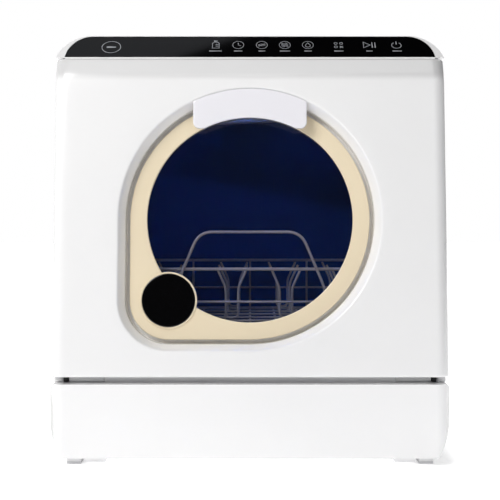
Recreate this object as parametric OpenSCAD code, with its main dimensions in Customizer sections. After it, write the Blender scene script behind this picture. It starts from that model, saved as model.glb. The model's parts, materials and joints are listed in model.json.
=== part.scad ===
// Countertop dishwasher with a fold-down front door, a round window and a built-in water tank.
// Millimetres, +Z up, the front looks along -Y. The origin is on the worktop, under the middle
// of the machine.

/* [Overall size] */
// Width over the side panels
body_w = 420; // [350:1:520]
// Depth from the base front to the ends of the rear connectors
body_d = 420; // [390:1:520]
// Height from the worktop to the top cover
body_h = 460; // [450:1:580]
// How far the rear connectors stand out behind the rear panel
rear_stub = 14; // [10:1:24]
// Wall of the outer mouldings
wall = 3; // [2.5:0.1:4]
// Running gap between neighbouring mouldings
gap = 0.3; // [0.2:0.05:0.5]

/* [Base] */
// Space between the worktop and the base floor
foot_h = 9; // [6:1:14]
// Top of the base front, below the door
base_top = 86; // [80:1:100]
// Height at which the lower sides begin to curve in
base_curve_z = 52; // [45:1:60]
// Radius of the curved lower sides
base_side_r = 77; // [60:1:90]
// Radius of the upper side edges of the base
base_edge_r = 6; // [3:1:8]
// Radius of the vertical front corners of base and door
corner_r = 15; // [8:1:20]
// Height of the rim that locates the side and rear panels
rim_h = 10; // [6:1:14]
// Width of a rubber foot
foot_w = 15; // [10:1:24]
// Width of the moulded skid beside each rubber foot
skid_w = 22; // [14:1:30]

/* [Top cover] */
// Radius of the upper side edges
cover_r = 36; // [20:1:45]
// Height of the sloping control facet
facet_rise = 28; // [20:1:34]
// Depth of the sloping control facet
facet_run = 28; // [20:1:34]
// Thickness of the control glass
glass_t = 3; // [2:0.5:4]
// Side margin of the control glass
glass_margin = 10.5; // [6:0.5:20]
// Radius of the upper corners of the control glass
glass_r = 27; // [15:1:35]
// Place of the water filling port, left of the middle
fill_x = -100; // [-130:1:-60]
// Width of the filling lid
fill_lid_w = 70; // [60:1:90]
// Depth of the filling lid
fill_lid_d = 46; // [44:1:48]

/* [Door] */
// Angle by which the closed door leans back
door_lean = 5; // [2:0.5:7]
// Thickness of the door
door_t = 42; // [38:1:48]
// Distance of the hinge axis behind the door front
axis_back = 9.5; // [9:0.1:10]
// Distance of the hinge axis above the door's lower edge
axis_up = 5.3; // [5:0.1:6]
// Distance of the hinge axis above the base
axis_over_base = 12; // [11.5:0.1:14]
// Wall of the door mouldings
door_wall = 2.5; // [2:0.1:3]
// Height of the sloping band along the door's top edge
band_h = 22; // [14:1:26]
// Depth of the sloping band along the door's top edge
band_run = 7.6; // [4:0.2:9]
// Radius of the upper corners of the door
door_corner_r = 5; // [5:1:14]

/* [Window] */
// Height of the window centre above the hinge axis
win_z = 161.5; // [160:0.5:172]
// Radius of the glass that shows
win_r = 110; // [90:0.5:110]
// Distance of the squared corner's arc centre from the window centre
corner_c = 86.6; // [80:0.5:90]
// Outer radius of the coloured trim ring
trim_r = 128; // [118:0.5:128]
// Inner radius of the bevelled recess, at its bottom
well_r = 130.6; // [129:0.1:131]
// Outer radius of the bevelled recess, at the door front
rim_r = 139.5; // [136:0.5:140]
// Depth of the bevel
bevel_d = 13.5; // [10:0.5:14]
// Depth of the trim ring below the door front
trim_depth = 16.5; // [14:0.5:17]
// Thickness of the window glass
pane_t = 4; // [3:0.5:5]
// How far the window glass reaches under the trim ring
pane_lap = 5.9; // [4:0.1:6]
// Radius of the round badge
badge_r = 28.3; // [20:0.1:30]
// Width of the lip round the badge
badge_lip = 2; // [1:0.1:3]

/* [Handle] */
// Half width of the handle
handle_hw = 60.5; // [50:0.5:64]
// Height of the handle's lower ends above the window centre
handle_low = 95.8; // [92:0.1:98]
// Thickness of the handle's front
handle_t = 4; // [3:0.5:5]
// Half width of the finger pocket
pocket_hw = 45; // [38:1:48]

/* [Wash chamber] */
// Half width of the chamber
tub_hw = 170; // [135:1:175]
// Chamber floor height
tub_floor = 108; // [106:1:112]
// Gap between the chamber ceiling and the top of the machine
tub_top_gap = 50; // [46:1:70]
// Distance of the chamber's back wall from the rear panel
tub_back_gap = 64; // [60:1:80]
// Wall of the chamber
tub_wall = 2; // [1.5:0.1:3]
// Radius of the chamber's long edges
tub_r = 18; // [10:1:25]
// Width of the sealing frame between the chamber opening and the side panels
frame_lap = 45; // [40:1:50]
// Length of a spray arm from its hub
spray_len = 116; // [90:1:118]

/* [Basket] */
// Half width of the basket
basket_hw = 150; // [120:1:155]
// Distance of the basket front behind the base front
basket_front_gap = 68; // [66:1:80]
// Distance of the basket back from the chamber's back wall
basket_back_gap = 28; // [26:1:60]
// Height of the basket's floor wires
basket_floor_z = 140; // [139:1:146]
// Height of the basket's rim wire
basket_rim_z = 203; // [190:1:220]
// Height of the basket's middle wire
basket_mid_z = 167; // [160:1:180]
// Height of the front grip loop
basket_grip_z = 244; // [230:1:255]
// Radius of the frame wires
wire_r = 1.8; // [1.5:0.1:2.2]
// Radius of the filling wires
thin_r = 1.4; // [1.2:0.1:1.6]

/* [Hidden] */
$fn = 48;
front_y = -body_d / 2;
back_y = body_d / 2 - rear_stub;
hinge_y = front_y + axis_back + 0.5;
hinge_z = base_top + axis_over_base;
half_w = body_w / 2;
door_hw = half_w - 0.5;
door_front = -axis_back;
door_back = door_t - axis_back;
lip_z = body_h - facet_rise;
door_top = (lip_z - 2 - hinge_z) / cos(door_lean);
lip_y = hinge_y + (door_top + axis_up) * sin(door_lean) + door_front + band_run + 1;
crest_y = lip_y + facet_run;
skirt_z = body_h - cover_r;
panel_z0 = base_top + 3.5;
frame_y0 = door_back + 5.5;
frame_t = 3;
upstand_y = hinge_y + 8;
trim_front = door_front + trim_depth;
trim_t = 3;
ledge_y = trim_front + trim_t + 6;
pane_r = win_r + pane_lap;
pane_y = trim_front + trim_t + 0.2;
seal_t = 3.4;
seal_y = pane_y + pane_t + 0.1;
open_hw = half_w - frame_lap;
sill_zl = door_back + 3.5;
open_top_zl = (body_h - tub_top_gap - hinge_z) / cos(door_lean);
open_r = 22;
sill_r = 8;
gasket_gap = 3;
gasket_w = 8;
tub_top = body_h - tub_top_gap;
tub_back = back_y - tub_back_gap;
arm_y = (front_y + tub_back) / 2 + 30;
basket_y0 = front_y + basket_front_gap;
basket_y1 = tub_back - basket_back_gap;
rail_top = basket_floor_z - wire_r - 5.2;
basket_x = min(basket_hw, tub_hw - 20);
fan_x = half_w - 62;
fan_z = 330;
inlet_x = half_w - 78;
drain_x = half_w - 34;
port_z = base_top + 26;
sump_x = 90;
pump_z = 60;
lock_yl = 24;
lock_y = hinge_y + lock_yl * cos(door_lean) + door_top * sin(door_lean);

// ---------- shared forms ----------

// Places what is drawn in the door's own frame: hinge axis at the origin, door leaning back.
module leaned() {
    translate([0, hinge_y, hinge_z]) rotate([-door_lean, 0, 0]) children();
}

// Where the leaning plane at a distance behind the hinge axis lies at a given height.
function lean_y(behind, z) = hinge_y + (behind + (z - hinge_z) * sin(door_lean)) / cos(door_lean);

// Draws children on the right and, mirrored, on the left.
module both_sides() {
    children();
    mirror([1, 0, 0]) children();
}

// Extrudes an outline drawn in X and Z along Y.
module along_y(y0, y1) {
    translate([0, y1, 0]) rotate([90, 0, 0]) linear_extrude(y1 - y0) children();
}

// Extrudes an outline drawn in Y and Z along X.
module along_x(x0, x1) {
    translate([x0, 0, 0]) rotate([90, 0, 90]) linear_extrude(x1 - x0) children();
}

// A box from its lower to its upper corner.
module box(a, b) {
    translate(a) cube([b[0] - a[0], b[1] - a[1], b[2] - a[2]]);
}

// A round bar between two points that differ along one axis.
module bar(a, b, r) {
    d = b - a;
    len = norm(d);
    tilt = acos(d[2] / len);
    turn = atan2(d[1], d[0]);
    translate(a) rotate([0, tilt, turn]) cylinder(h = len, r = r);
}

// A rectangle between two corners with one radius above and another below.
module round_box(x0, z0, x1, z1, r_top, r_low) {
    translate([x0, z0 + r_low]) square([x1 - x0, z1 - z0 - r_top - r_low]);
    translate([x0 + r_top, z1 - r_top - r_low]) square([x1 - x0 - 2 * r_top, r_top + r_low]);
    translate([x0 + r_low, z0]) square([x1 - x0 - 2 * r_low, r_top + r_low]);
    for (x = [x0 + r_top, x1 - r_top]) translate([x, z1 - r_top]) circle(r_top);
    for (x = [x0 + r_low, x1 - r_low]) translate([x, z0 + r_low]) circle(r_low);
}

// Plan outline with rounded front corners, inset all round.
module plan(inset, y1) {
    r = corner_r - inset;
    x = half_w - inset;
    translate([-x, front_y + inset + r]) square([2 * x, y1 - front_y - inset - r]);
    translate([-x + r, front_y + inset]) square([2 * (x - r), 2 * r]);
    for (s = [-1, 1]) translate([s * (x - r), front_y + inset + r]) circle(r);
}

// A round outline whose lower left quarter is squared off with a smaller radius.
module dee(r) {
    circle(r);
    translate([-corner_c, -corner_c]) circle(r - corner_c);
    translate([-r, -corner_c]) square([r, corner_c]);
    translate([-corner_c, -r]) square([corner_c, r]);
}

// The same outline standing in the door from one depth to another.
module dee_slab(y0, y1, r) {
    along_y(y0, y1) translate([0, win_z]) dee(r);
}

// The same outline narrowing evenly from one depth and radius to another.
module dee_taper(y0, r0, y1, r1) {
    d = y1 - y0;
    translate([0, y0, win_z]) rotate([-90, 0, 0]) {
        cylinder(h = d, r1 = r0, r2 = r1);
        translate([-corner_c, corner_c, 0]) cylinder(h = d, r1 = r0 - corner_c, r2 = r1 - corner_c);
        translate([0, corner_c, 0]) rotate([90, 0, 0]) linear_extrude(corner_c)
            polygon([[0, 0], [-r0, 0], [-r1, d], [0, d]]);
        along_x(-corner_c, 0) polygon([[0, 0], [r0, 0], [r1, d], [0, d]]);
    }
}

// A disc or ring in the door, on the window axis.
module door_ring(y0, y1, r_out, r_in) {
    translate([0, y0, win_z]) rotate([-90, 0, 0]) difference() {
        cylinder(h = y1 - y0, r = r_out);
        if (r_in > 0) translate([0, 0, -1]) cylinder(h = y1 - y0 + 2, r = r_in);
    }
}

// ---------- base ----------

// Front outline of the base: upright sides that curve in towards the feet.
module base_outline(inset) {
    x = half_w - inset;
    r = base_side_r - inset;
    bend = x - r;
    e = base_edge_r;
    z1 = base_top - inset;
    intersection() {
        union() {
            translate([-x, base_curve_z]) square([2 * x, z1 - e - base_curve_z]);
            translate([-x + e, base_curve_z]) square([2 * (x - e), z1 - base_curve_z]);
            for (s = [-1, 1]) translate([s * (x - e), z1 - e]) circle(e);
            for (s = [-1, 1]) translate([s * bend, base_curve_z]) circle(r);
            translate([-bend, base_curve_z - r]) square([2 * bend, r]);
        }
        translate([-x - 1, foot_h + inset]) square([2 * x + 2, z1 - foot_h - inset]);
    }
}

module base_body(inset) {
    intersection() {
        along_y(front_y + inset, back_y - inset) base_outline(inset);
        linear_extrude(base_top + 1) plan(inset, back_y - inset);
    }
}

skid_x = half_w - 46;
pad_x = half_w - 24;
skid_y = [front_y + 36, back_y - 30];
rim_x = half_w - wall + 0.5 - gap;
cover_x0 = 154;
bracket_x = half_w - 15;
bracket_t = 5;
tank_post_x = [-130, -60, 20];

module base_housing() {
    up = upstand_y;
    rim_y0 = up + 42;
    rim_y1 = back_y - wall + 0.5 - gap;
    low_rim = base_top + 5.5;
    color("white") difference() {
        union() {
            difference() {
                base_body(0);
                base_body(wall);
            }
            // upstand behind the groove, and the rim that locates the side and rear panels
            box([-cover_x0, up, base_top - 2], [cover_x0, up + wall, low_rim]);
            for (s = [0, 1]) mirror([s, 0, 0])
                box([rim_x - wall, rim_y0, base_top - 2], [rim_x, rim_y1, base_top + rim_h]);
            box([-rim_x, rim_y1 - wall, base_top - 2], [rim_x, rim_y1, base_top + rim_h]);
            for (x = [-skid_x, skid_x], y = skid_y)
                box([x - skid_w / 2, y - 20, foot_h - 7], [x + skid_w / 2, y + 20, foot_h + 1]);
            for (x = tank_post_x)
                box([x - 6, tub_back + 22, foot_h + 1], [x + 6, back_y - 26, base_top + 10]);
        }
        // opening in the deck, behind the ledge that carries the sealing frame
        difference() {
            box([-rim_x + wall, rim_y0, base_top - wall - 1],
                [rim_x - wall, rim_y1 - wall, base_top + 1]);
            for (x = tank_post_x)
                box([x - 6, tub_back + 22, base_top - 10], [x + 6, back_y - 26, base_top + 2]);
        }
        // cooling slots in the floor
        for (x = [-80 : 20 : 80])
            box([x - 3, back_y - 70, foot_h - 1], [x + 3, back_y - 30, foot_h + wall + 1]);
        // seats of the rubber feet
        for (x = [-pad_x, pad_x], y = skid_y)
            translate([x, y, foot_h - 1]) cylinder(h = wall + 2, r = 3.2);
        // hole of the cord gland
        translate([-150, back_y - wall - 1, 55]) rotate([-90, 0, 0]) cylinder(h = wall + 2, r = 8.1);
    }
}

module rubber_feet() {
    color("dimgray") for (x = [-pad_x, pad_x], y = skid_y) {
        box([x - foot_w / 2, y - 20, 0], [x + foot_w / 2, y + 20, foot_h - 0.1]);
        translate([x, y, foot_h - 1]) cylinder(h = wall + 1, r = 3.1);
    }
}

// ---------- casing ----------

module side_panel() {
    y0 = frame_y0 - 2;
    x0 = half_w - wall + 0.5;
    flange_y = back_y - wall;
    color("white") difference() {
        union() {
            along_x(x0, half_w) polygon([
                [lean_y(y0, panel_z0), panel_z0], [back_y, panel_z0],
                [back_y, skirt_z - gap], [lean_y(y0, skirt_z - gap), skirt_z - gap]
            ]);
            box([x0 - 12, flange_y - wall, base_top + rim_h + gap],
                [x0 + 0.5, flange_y + 0.3, skirt_z - gap]);
        }
        for (z = panel_screw_z) translate([x0 - 6, flange_y - wall - 1, z])
            rotate([-90, 0, 0]) cylinder(h = wall + 2, r = 1.85);
    }
}

panel_screw_z = [base_top + 30, (base_top + skirt_z) / 2, skirt_z - 30];

module side_panel_left() { mirror([1, 0, 0]) side_panel(); }

module side_panel_right() { side_panel(); }

module rear_panel() {
    x = half_w - wall + 0.5 - gap;
    y0 = back_y - wall + 0.6;
    color("white") difference() {
        box([-x, y0, panel_z0], [x, back_y, skirt_z - gap]);
        for (s = [-1, 1], z = panel_screw_z)
            translate([s * (half_w - wall + 0.5 - 6), y0 - 1, z])
                rotate([-90, 0, 0]) cylinder(h = wall + 2, r = 2.1);
        translate([inlet_x, y0 - 1, port_z]) rotate([-90, 0, 0]) cylinder(h = wall + 2, r = 13.6);
        translate([drain_x, y0 - 1, port_z]) rotate([-90, 0, 0]) cylinder(h = wall + 2, r = 8.4);
        box([fan_x - 28, y0 - 1, fan_z - 28], [fan_x + 28, back_y + 1, fan_z + 28]);
    }
}

module casing_screws() {
    x = half_w - wall + 0.5 - 6;
    color("silver") for (s = [-1, 1], z = panel_screw_z)
        translate([s * x, back_y, z]) rotate([-90, 0, 0]) {
            difference() {
                cylinder(h = 2.2, r = 3.8);
                translate([0, 0, 1.2]) cube([5, 0.9, 2.2], center = true);
            }
            translate([0, 0, -9]) cylinder(h = 9.5, r = 1.8);
        }
}

// ---------- top cover and controls ----------

// Unit vector that points into the cover, square to the control facet.
facet_len = norm([facet_run, facet_rise]);
facet_in = [facet_rise / facet_len, -facet_run / facet_len];
facet_up = [facet_run / facet_len, facet_rise / facet_len];

// A point in the YZ plane, measured up along the facet and inwards from it.
function on_facet(u, inward) = [
    lip_y + u * facet_up[0] + inward * facet_in[0],
    lip_z + u * facet_up[1] + inward * facet_in[1]
];

// A slab along the facet between two heights and two depths.
module facet_slab(x0, x1, u0, u1, d0, d1) {
    along_x(x0, x1) polygon([
        on_facet(u0, d0), on_facet(u1, d0), on_facet(u1, d1), on_facet(u0, d1)
    ]);
}

// Front outline of the top cover.
module cover_outline(inset) {
    x = half_w - inset;
    r = cover_r - inset;
    translate([-x, skirt_z - 1]) square([2 * x, 1 + 0.001]);
    translate([-x + r, skirt_z]) square([2 * (x - r), r]);
    for (s = [-1, 1]) translate([s * (x - r), skirt_z]) circle(r);
}

cover_rear_r = 10;

// Side outline of the top cover: lip over the door, control facet, flat top, round rear edge.
module cover_side(inset) {
    back = back_y - inset;
    top = body_h - inset;
    r = cover_rear_r - inset;
    f = lean_y(frame_y0 + frame_t + 2, skirt_z);
    depth = inset > 1 ? glass_t + inset : inset;
    low = lip_z + inset;
    a = on_facet(0, depth);
    // where the facet's inner side meets the floor over the door, and the flat top
    k0 = (low - a[1]) / facet_up[1];
    k1 = (top - a[1]) / facet_up[1];
    front = [a[0] + k0 * facet_up[0], low];
    crest = [a[0] + k1 * facet_up[0], top];
    polygon([front, crest, [back - r, top], [back - r, skirt_z - inset],
             [f + inset, skirt_z - inset], [f + inset, low]]);
    translate([back - 2 * r, skirt_z - inset]) square([2 * r, top - r - skirt_z + inset]);
    translate([back - r, top - r]) circle(r);
}

lid_y1 = back_y - 12;
lid_y0 = lid_y1 - fill_lid_d;
lid_axis_z = body_h - 1.8;
port_y = (lid_y0 + lid_y1) / 2 - 2;

// Solid form of the top cover, inset all round.
module cover_form(inset) {
    intersection() {
        along_y(lip_y - 20, back_y + 1) cover_outline(inset);
        along_x(-half_w, half_w) cover_side(inset);
    }
}

module top_cover() {
    g = 0.4;
    color("white") difference() {
        union() {
            difference() {
                cover_form(0);
                cover_form(wall);
            }
            // thicker seat under the filling lid
            intersection() {
                box([fill_x - fill_lid_w / 2 - 8, lid_y0 - 5, body_h - 10],
                    [fill_x + fill_lid_w / 2 + 8, back_y - wall - 1, body_h - 1]);
                cover_form(1);
            }
        }
        // seat of the control glass
        intersection() {
            facet_slab(-half_w, half_w, -1, facet_len + 1, -5, glass_t + 0.1);
            along_y(lip_y - 20, crest_y + 5) glass_outline(-gap);
        }
        // seat of the filling lid, its hinge groove and pin holes, and the filling hole
        box([fill_x - fill_lid_w / 2 - g, lid_y0 - g, body_h - 3.1],
            [fill_x + fill_lid_w / 2 + g, lid_y1 + 1.8 + g, body_h + 1]);
        box([fill_x - fill_lid_w / 2 - g, lid_y1 - 3, body_h - 4.2],
            [fill_x + fill_lid_w / 2 + g, lid_y1 + 1.8 + g, body_h + 1]);
        translate([fill_x - fill_lid_w / 2 - 3.5, lid_y1, lid_axis_z]) rotate([0, 90, 0])
            cylinder(h = fill_lid_w + 7, r = 1.26);
        translate([fill_x, port_y, body_h - 20]) cylinder(h = 30, r = 17);
        // hole of the lock bolt in the floor over the door
        translate([0, lock_y, lip_z - 1]) cylinder(h = wall + 2, r = 4);
    }
}

// Front outline of the control glass.
module glass_outline(inset) {
    x = half_w - glass_margin - inset;
    low = lip_z + 0.8 + inset;
    intersection() {
        round_box(-x, low - 2 * glass_r, x, body_h - 1 - inset, glass_r - inset, 1);
        translate([-half_w, low]) square([2 * half_w, facet_rise]);
    }
}

module control_glass() {
    color([0.02, 0.02, 0.03]) intersection() {
        facet_slab(-half_w, half_w, 0, facet_len, 0, glass_t);
        along_y(lip_y - 20, crest_y + 5) glass_outline(0);
    }
}

module control_board() {
    d = glass_t + wall + gap;
    color("darkgreen") difference() {
        facet_slab(-60, half_w - 36, 9 + 1.5 * wall, facet_len - 5, d, d + 1.6);
        facet_slab(-23, 23, 10, 27, d - 1, d + 3);
    }
    // components behind the touch keys
    color("gold") for (x = [-34, 32, 60, 92, 124, 152])
        facet_slab(x - 6, x + 6, 29, facet_len - 7, d + 1.6, d + 2.4);
}

// Lock that keeps the door shut during a wash: a solenoid bolt above the door.
module door_lock() {
    z0 = lip_z + wall + 0.1;
    color("gainsboro") difference() {
        box([-20, lock_y - 4.5, z0], [20, lock_y + 9, z0 + 15.1 - 2.5 * wall]);
        translate([0, lock_y, z0 - 1]) cylinder(h = 12, r = 3.06);
    }
}

module lock_bolt() {
    color("silver") translate([0, lock_y, lip_z - 3]) cylinder(h = wall + 10, r = 3);
}

// ---------- wash chamber ----------

module tub_shape(inset) {
    x = tub_hw + tub_wall - inset;
    round_box(-x, tub_floor - tub_wall + inset, x, tub_top + tub_wall - inset,
              tub_r - inset, tub_r - inset);
}

// Everything in front of a leaning plane.
module ahead_of(behind) {
    leaned() box([-half_w - 50, behind - 400, -200], [half_w + 50, behind, body_h + 100]);
}

module tub() {
    color("silver") difference() {
        along_y(front_y, tub_back + tub_wall) tub_shape(0);
        along_y(front_y - 1, tub_back) tub_shape(tub_wall);
        ahead_of(frame_y0 + frame_t + 0.1);
        translate([sump_x, arm_y, tub_floor - 5]) cylinder(h = 10, r = 51);
        translate([0, arm_y, tub_floor - 5]) cylinder(h = 10, r = 11.4);
        translate([pipe_x, pipe_y, tub_floor - 5]) cylinder(h = 10, r = pipe_r + 0.3);
        translate([fan_x - 8, tub_back - 1, fan_z - 20]) rotate([-90, 0, 0])
            cylinder(h = 5, r = 12.3);
        translate([0, lamp_y, tub_top - 1]) cylinder(h = 5, r = 9.3);
        for (p = heater_ends) translate([p[0], p[1], tub_floor - 5])
            cylinder(h = 10, r = heater_wire_r + 0.3);
    }
}

// Outline of the chamber mouth in the door's plane, grown all round.
module mouth_outline(grow) {
    round_box(-open_hw - grow, sill_zl - grow, open_hw + grow, open_top_zl + grow,
              open_r + grow, sill_r + grow);
}

// Frame that closes the gap between the chamber mouth and the casing, in the door's plane.
module tub_frame() {
    x = half_w - wall + 0.5 - gap;
    z0 = (base_top + gap - hinge_z + (frame_y0 + frame_t) * sin(door_lean)) / cos(door_lean);
    z1 = (lip_z - 0.4 - hinge_z + frame_y0 * sin(door_lean)) / cos(door_lean);
    color("white") leaned() difference() {
        along_y(frame_y0, frame_y0 + frame_t) round_box(-x, z0, x, z1, cover_r - wall, 0.5);
        along_y(frame_y0 - 1, frame_y0 + frame_t + 1)
            mouth_outline(0);
    }
}

module door_gasket() {
    color([0.3, 0.3, 0.32]) leaned() difference() {
        along_y(door_back + 0.5, frame_y0 - 0.05) mouth_outline(gasket_gap + gasket_w);
        along_y(door_back - 1, frame_y0 + 1) mouth_outline(gasket_gap);
        along_y(door_back + 3, frame_y0 - 2) mouth_outline(gasket_gap + gasket_w - 2);
    }
}

sump_top = tub_floor - tub_wall - 0.2;
sump_low = foot_h + 46;

module sump() {
    color("dimgray") difference() {
        union() {
            translate([sump_x, arm_y, sump_low]) cylinder(h = sump_top - sump_low, r = 46);
            translate([sump_x, arm_y, sump_top - 3]) cylinder(h = 3, r = 60);
            translate([sump_x - 54, arm_y, pump_z + 10]) rotate([0, 90, 0])
                cylinder(h = 20, r = 13);
            translate([sump_x, arm_y + 40, pump_z + 12]) rotate([-90, 0, 0])
                cylinder(h = 14, r = 9);
        }
        translate([sump_x, arm_y, sump_low + wall]) cylinder(h = 80, r = 46 - wall);
        translate([sump_x - 55, arm_y, pump_z + 10]) rotate([0, 90, 0]) cylinder(h = 20, r = 10.5);
        translate([sump_x, arm_y + 35, pump_z + 12]) rotate([-90, 0, 0]) cylinder(h = 20, r = 7);
        translate([tank_out_x, arm_y, sump_low - 1]) cylinder(h = wall + 2, r = 5);
    }
}

module filter_plate() {
    color("silver") difference() {
        translate([sump_x, arm_y, sump_top + 0.1]) cylinder(h = 1.6, r = 50.6);
        translate([sump_x, arm_y, sump_top - 1]) cylinder(h = 4, r = 32);
        for (k = [0 : 15 : 345]) translate([sump_x, arm_y, sump_top - 1]) rotate(k)
            translate([38, -1.2, 0]) cube([8, 2.4, 4]);
    }
}

module filter_cup() {
    z = sump_top + 2;
    color("lightgray") translate([sump_x, arm_y, 0]) {
        difference() {
            union() {
                translate([0, 0, sump_low + wall + 1]) cylinder(h = z - sump_low - wall, r = 31.6);
                translate([0, 0, z]) cylinder(h = 1.6, r = 35);
            }
            translate([0, 0, sump_low + wall + 3]) cylinder(h = 80, r = 29.8);
            for (k = [0 : 30 : 330], h = [14, 26]) rotate(k)
                translate([26, -2, sump_low + h]) cube([8, 4, 8]);
        }
        translate([-30.5, -1.5, z - 10]) cube([61, 3, 11.6]);
    }
}

// ---------- pumps, pipes and heater ----------

module wash_pump_housing() {
    color("gray") difference() {
        union() {
            translate([-14, arm_y, pump_z]) rotate([0, 90, 0]) cylinder(h = 28, r = 32);
            translate([0, arm_y, pump_z]) cylinder(h = tub_floor + 14 - pump_z, r = 11);
            translate([13, arm_y, pump_z + 10]) rotate([0, 90, 0])
                cylinder(h = sump_x - 54 - 13.2, r = 13);
            translate([0, arm_y + 26, pump_z]) rotate([-90, 0, 0]) cylinder(h = 12, r = pipe_r);
            box([-12, arm_y - 12, foot_h + wall + 0.1], [12, arm_y + 12, pump_z - 25]);
        }
        translate([-11.5, arm_y, pump_z]) rotate([0, 90, 0]) cylinder(h = 23, r = 29);
        translate([0, arm_y, pump_z + 20]) cylinder(h = 100, r = 9);
        translate([10, arm_y, pump_z + 10]) rotate([0, 90, 0]) cylinder(h = 60, r = 10.5);
        translate([0, arm_y + 20, pump_z]) rotate([-90, 0, 0]) cylinder(h = 30, r = pipe_r - 1.5);
        translate([-20, arm_y, pump_z]) rotate([0, 90, 0]) cylinder(h = 10, r = 4.06);
    }
}

module wash_pump_motor() {
    color("silver") difference() {
        union() {
            translate([-92, arm_y, pump_z]) rotate([0, 90, 0]) cylinder(h = 77.8, r = 29);
            box([-82, arm_y - 14, foot_h + wall + 0.1], [-40, arm_y + 14, pump_z - 20]);
        }
        translate([-40, arm_y, pump_z]) rotate([0, 90, 0]) cylinder(h = 30, r = 4.06);
        for (x = [-86 : 8 : -30]) difference() {
            translate([x, arm_y, pump_z]) rotate([0, 90, 0]) cylinder(h = 3, r = 33);
            translate([x - 1, arm_y, pump_z]) rotate([0, 90, 0]) cylinder(h = 5, r = 27.5);
            box([x - 1, arm_y - 15, 0], [x + 5, arm_y + 15, pump_z - 20]);
        }
    }
}

// A bladed wheel on a shaft along X: hub, back disc and straight blades.
module wheel(disc_r, blade_h, blades, shaft_from, shaft_to, shaft_r) {
    rotate([0, 90, 0]) {
        cylinder(h = 2, r = disc_r);
        cylinder(h = blade_h, r = disc_r * 0.3);
        for (k = [0 : blades - 1]) rotate(k * 360 / blades)
            translate([disc_r * 0.25, -0.9, 1]) cube([disc_r * 0.7, 1.8, blade_h - 1]);
        translate([0, 0, shaft_from]) cylinder(h = shaft_to - shaft_from, r = shaft_r);
    }
}

module wash_pump_impeller() {
    color("white") translate([-8, arm_y, pump_z]) wheel(26, 14, 6, -24, 1, 4);
}

drain_y = arm_y + 54.5;
drain_z = pump_z + 12;

module drain_pump_body() {
    color("gray") translate([sump_x, drain_y, drain_z]) difference() {
        union() {
            rotate([-90, 0, 0]) cylinder(h = 20, r = 22);
            translate([0, 20, 0]) rotate([-90, 0, 0]) cylinder(h = 30, r = 17);
            translate([0, 10, 0]) rotate([0, 90, 0]) cylinder(h = 30, r = 7);
            translate([-10, 2, foot_h + wall + 0.1 - drain_z]) cube([20, 14, drain_z - foot_h - 22]);
        }
        translate([0, 2.5, 0]) rotate([-90, 0, 0]) cylinder(h = 15, r = 19.5);
        translate([0, -1, 0]) rotate([-90, 0, 0]) cylinder(h = 5, r = 7);
        translate([15, 10, 0]) rotate([0, 90, 0]) cylinder(h = 20, r = 5);
        translate([0, 16, 0]) rotate([-90, 0, 0]) cylinder(h = 20, r = 2.05);
    }
}

module drain_pump_impeller() {
    color("white") translate([sump_x, drain_y + 16, drain_z]) rotate([0, 0, -90])
        wheel(17, 9, 4, -16, 1, 2);
}

// A hose or pipe through a list of points, with a rounded elbow at every bend.
module run_of_pipe(points, r) {
    last = len(points) - 1;
    for (i = [0 : last - 1]) bar(points[i], points[i + 1], r);
    for (i = [1 : last - 1]) translate(points[i]) sphere(r * 1.12);
}

module hollow_run(points, r, bore) {
    last = len(points) - 1;
    difference() {
        run_of_pipe(points, r);
        bar(points[0] - (points[1] - points[0]) / 100, points[1], bore);
        for (i = [1 : last - 2]) bar(points[i], points[i + 1], bore);
        bar(points[last - 1], points[last] + (points[last] - points[last - 1]) / 50, bore);
    }
}

module drain_hose() {
    p0 = [sump_x + 30.2, drain_y + 10, drain_z];
    color("gray") hollow_run([
        p0, [drain_x, p0[1], drain_z], [drain_x, back_y - 30, drain_z],
        [drain_x, back_y - 30, port_z], [drain_x, back_y - 20.2, port_z]
    ], 8, 6);
}

pipe_r = 8;
pipe_x = -tub_hw + 15;
pipe_y = tub_back - 12;
pipe_top = tub_top - 12;

module upper_feed_pipe() {
    color("silver") hollow_run([
        [0, arm_y + 38.2, pump_z], [0, pipe_y, pump_z], [pipe_x, pipe_y, pump_z],
        [pipe_x, pipe_y, pipe_top], [0, pipe_y, pipe_top], [0, arm_y, pipe_top],
        [0, arm_y, pipe_top - 20]
    ], pipe_r, pipe_r - 1.6);
}

heater_r = 84;
heater_wire_r = 3.4;
heater_z = tub_floor + 5.5;
heater_leg = 13;
lamp_y = arm_y - 70;
heater_ends = [for (a = [-170, -70]) [heater_r * cos(a), arm_y + heater_r * sin(a)]];

// Tubular heater: part of a ring on the chamber floor, with both ends bent down through it.
module heater_element() {
    color("dimgray") {
        translate([0, arm_y, heater_z]) rotate([0, 0, -170]) rotate_extrude(angle = 100)
            translate([heater_r, 0]) circle(heater_wire_r);
        for (p = heater_ends) {
            translate([p[0], p[1], heater_z]) sphere(heater_wire_r + 0.6);
            translate([p[0], p[1], tub_floor - heater_leg])
                cylinder(h = heater_z - tub_floor + heater_leg, r = heater_wire_r);
        }
    }
}

// ---------- tank and rear fittings ----------

module water_tank() {
    x0 = -half_w + 25;
    x1 = fan_x - 43;
    y0 = tub_back + tub_wall + 2;
    y1 = back_y - 2 * wall - 0.5;
    z0 = base_top + 10.2;
    z1 = skirt_z - 6;
    w = 2;
    neck_r = 22;
    color([0.85, 0.9, 0.95]) difference() {
        union() {
            box([x0, y0, z0], [x1, y1, z1]);
            translate([fill_x, port_y, z1 - 1]) cylinder(h = 11, r = neck_r);
        }
        box([x0 + w, y0 + w, z0 + w], [x1 - w, y1 - w, z1 - w]);
        translate([fill_x, port_y, z1 - 5]) cylinder(h = 20, r = neck_r - w);
        translate([tank_out_x, tank_out_y, z0 - 1]) cylinder(h = 5, r = 6);
    }
}

tank_out_x = 64;
tank_out_y = back_y - 34;
hose_z = 30;

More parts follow.
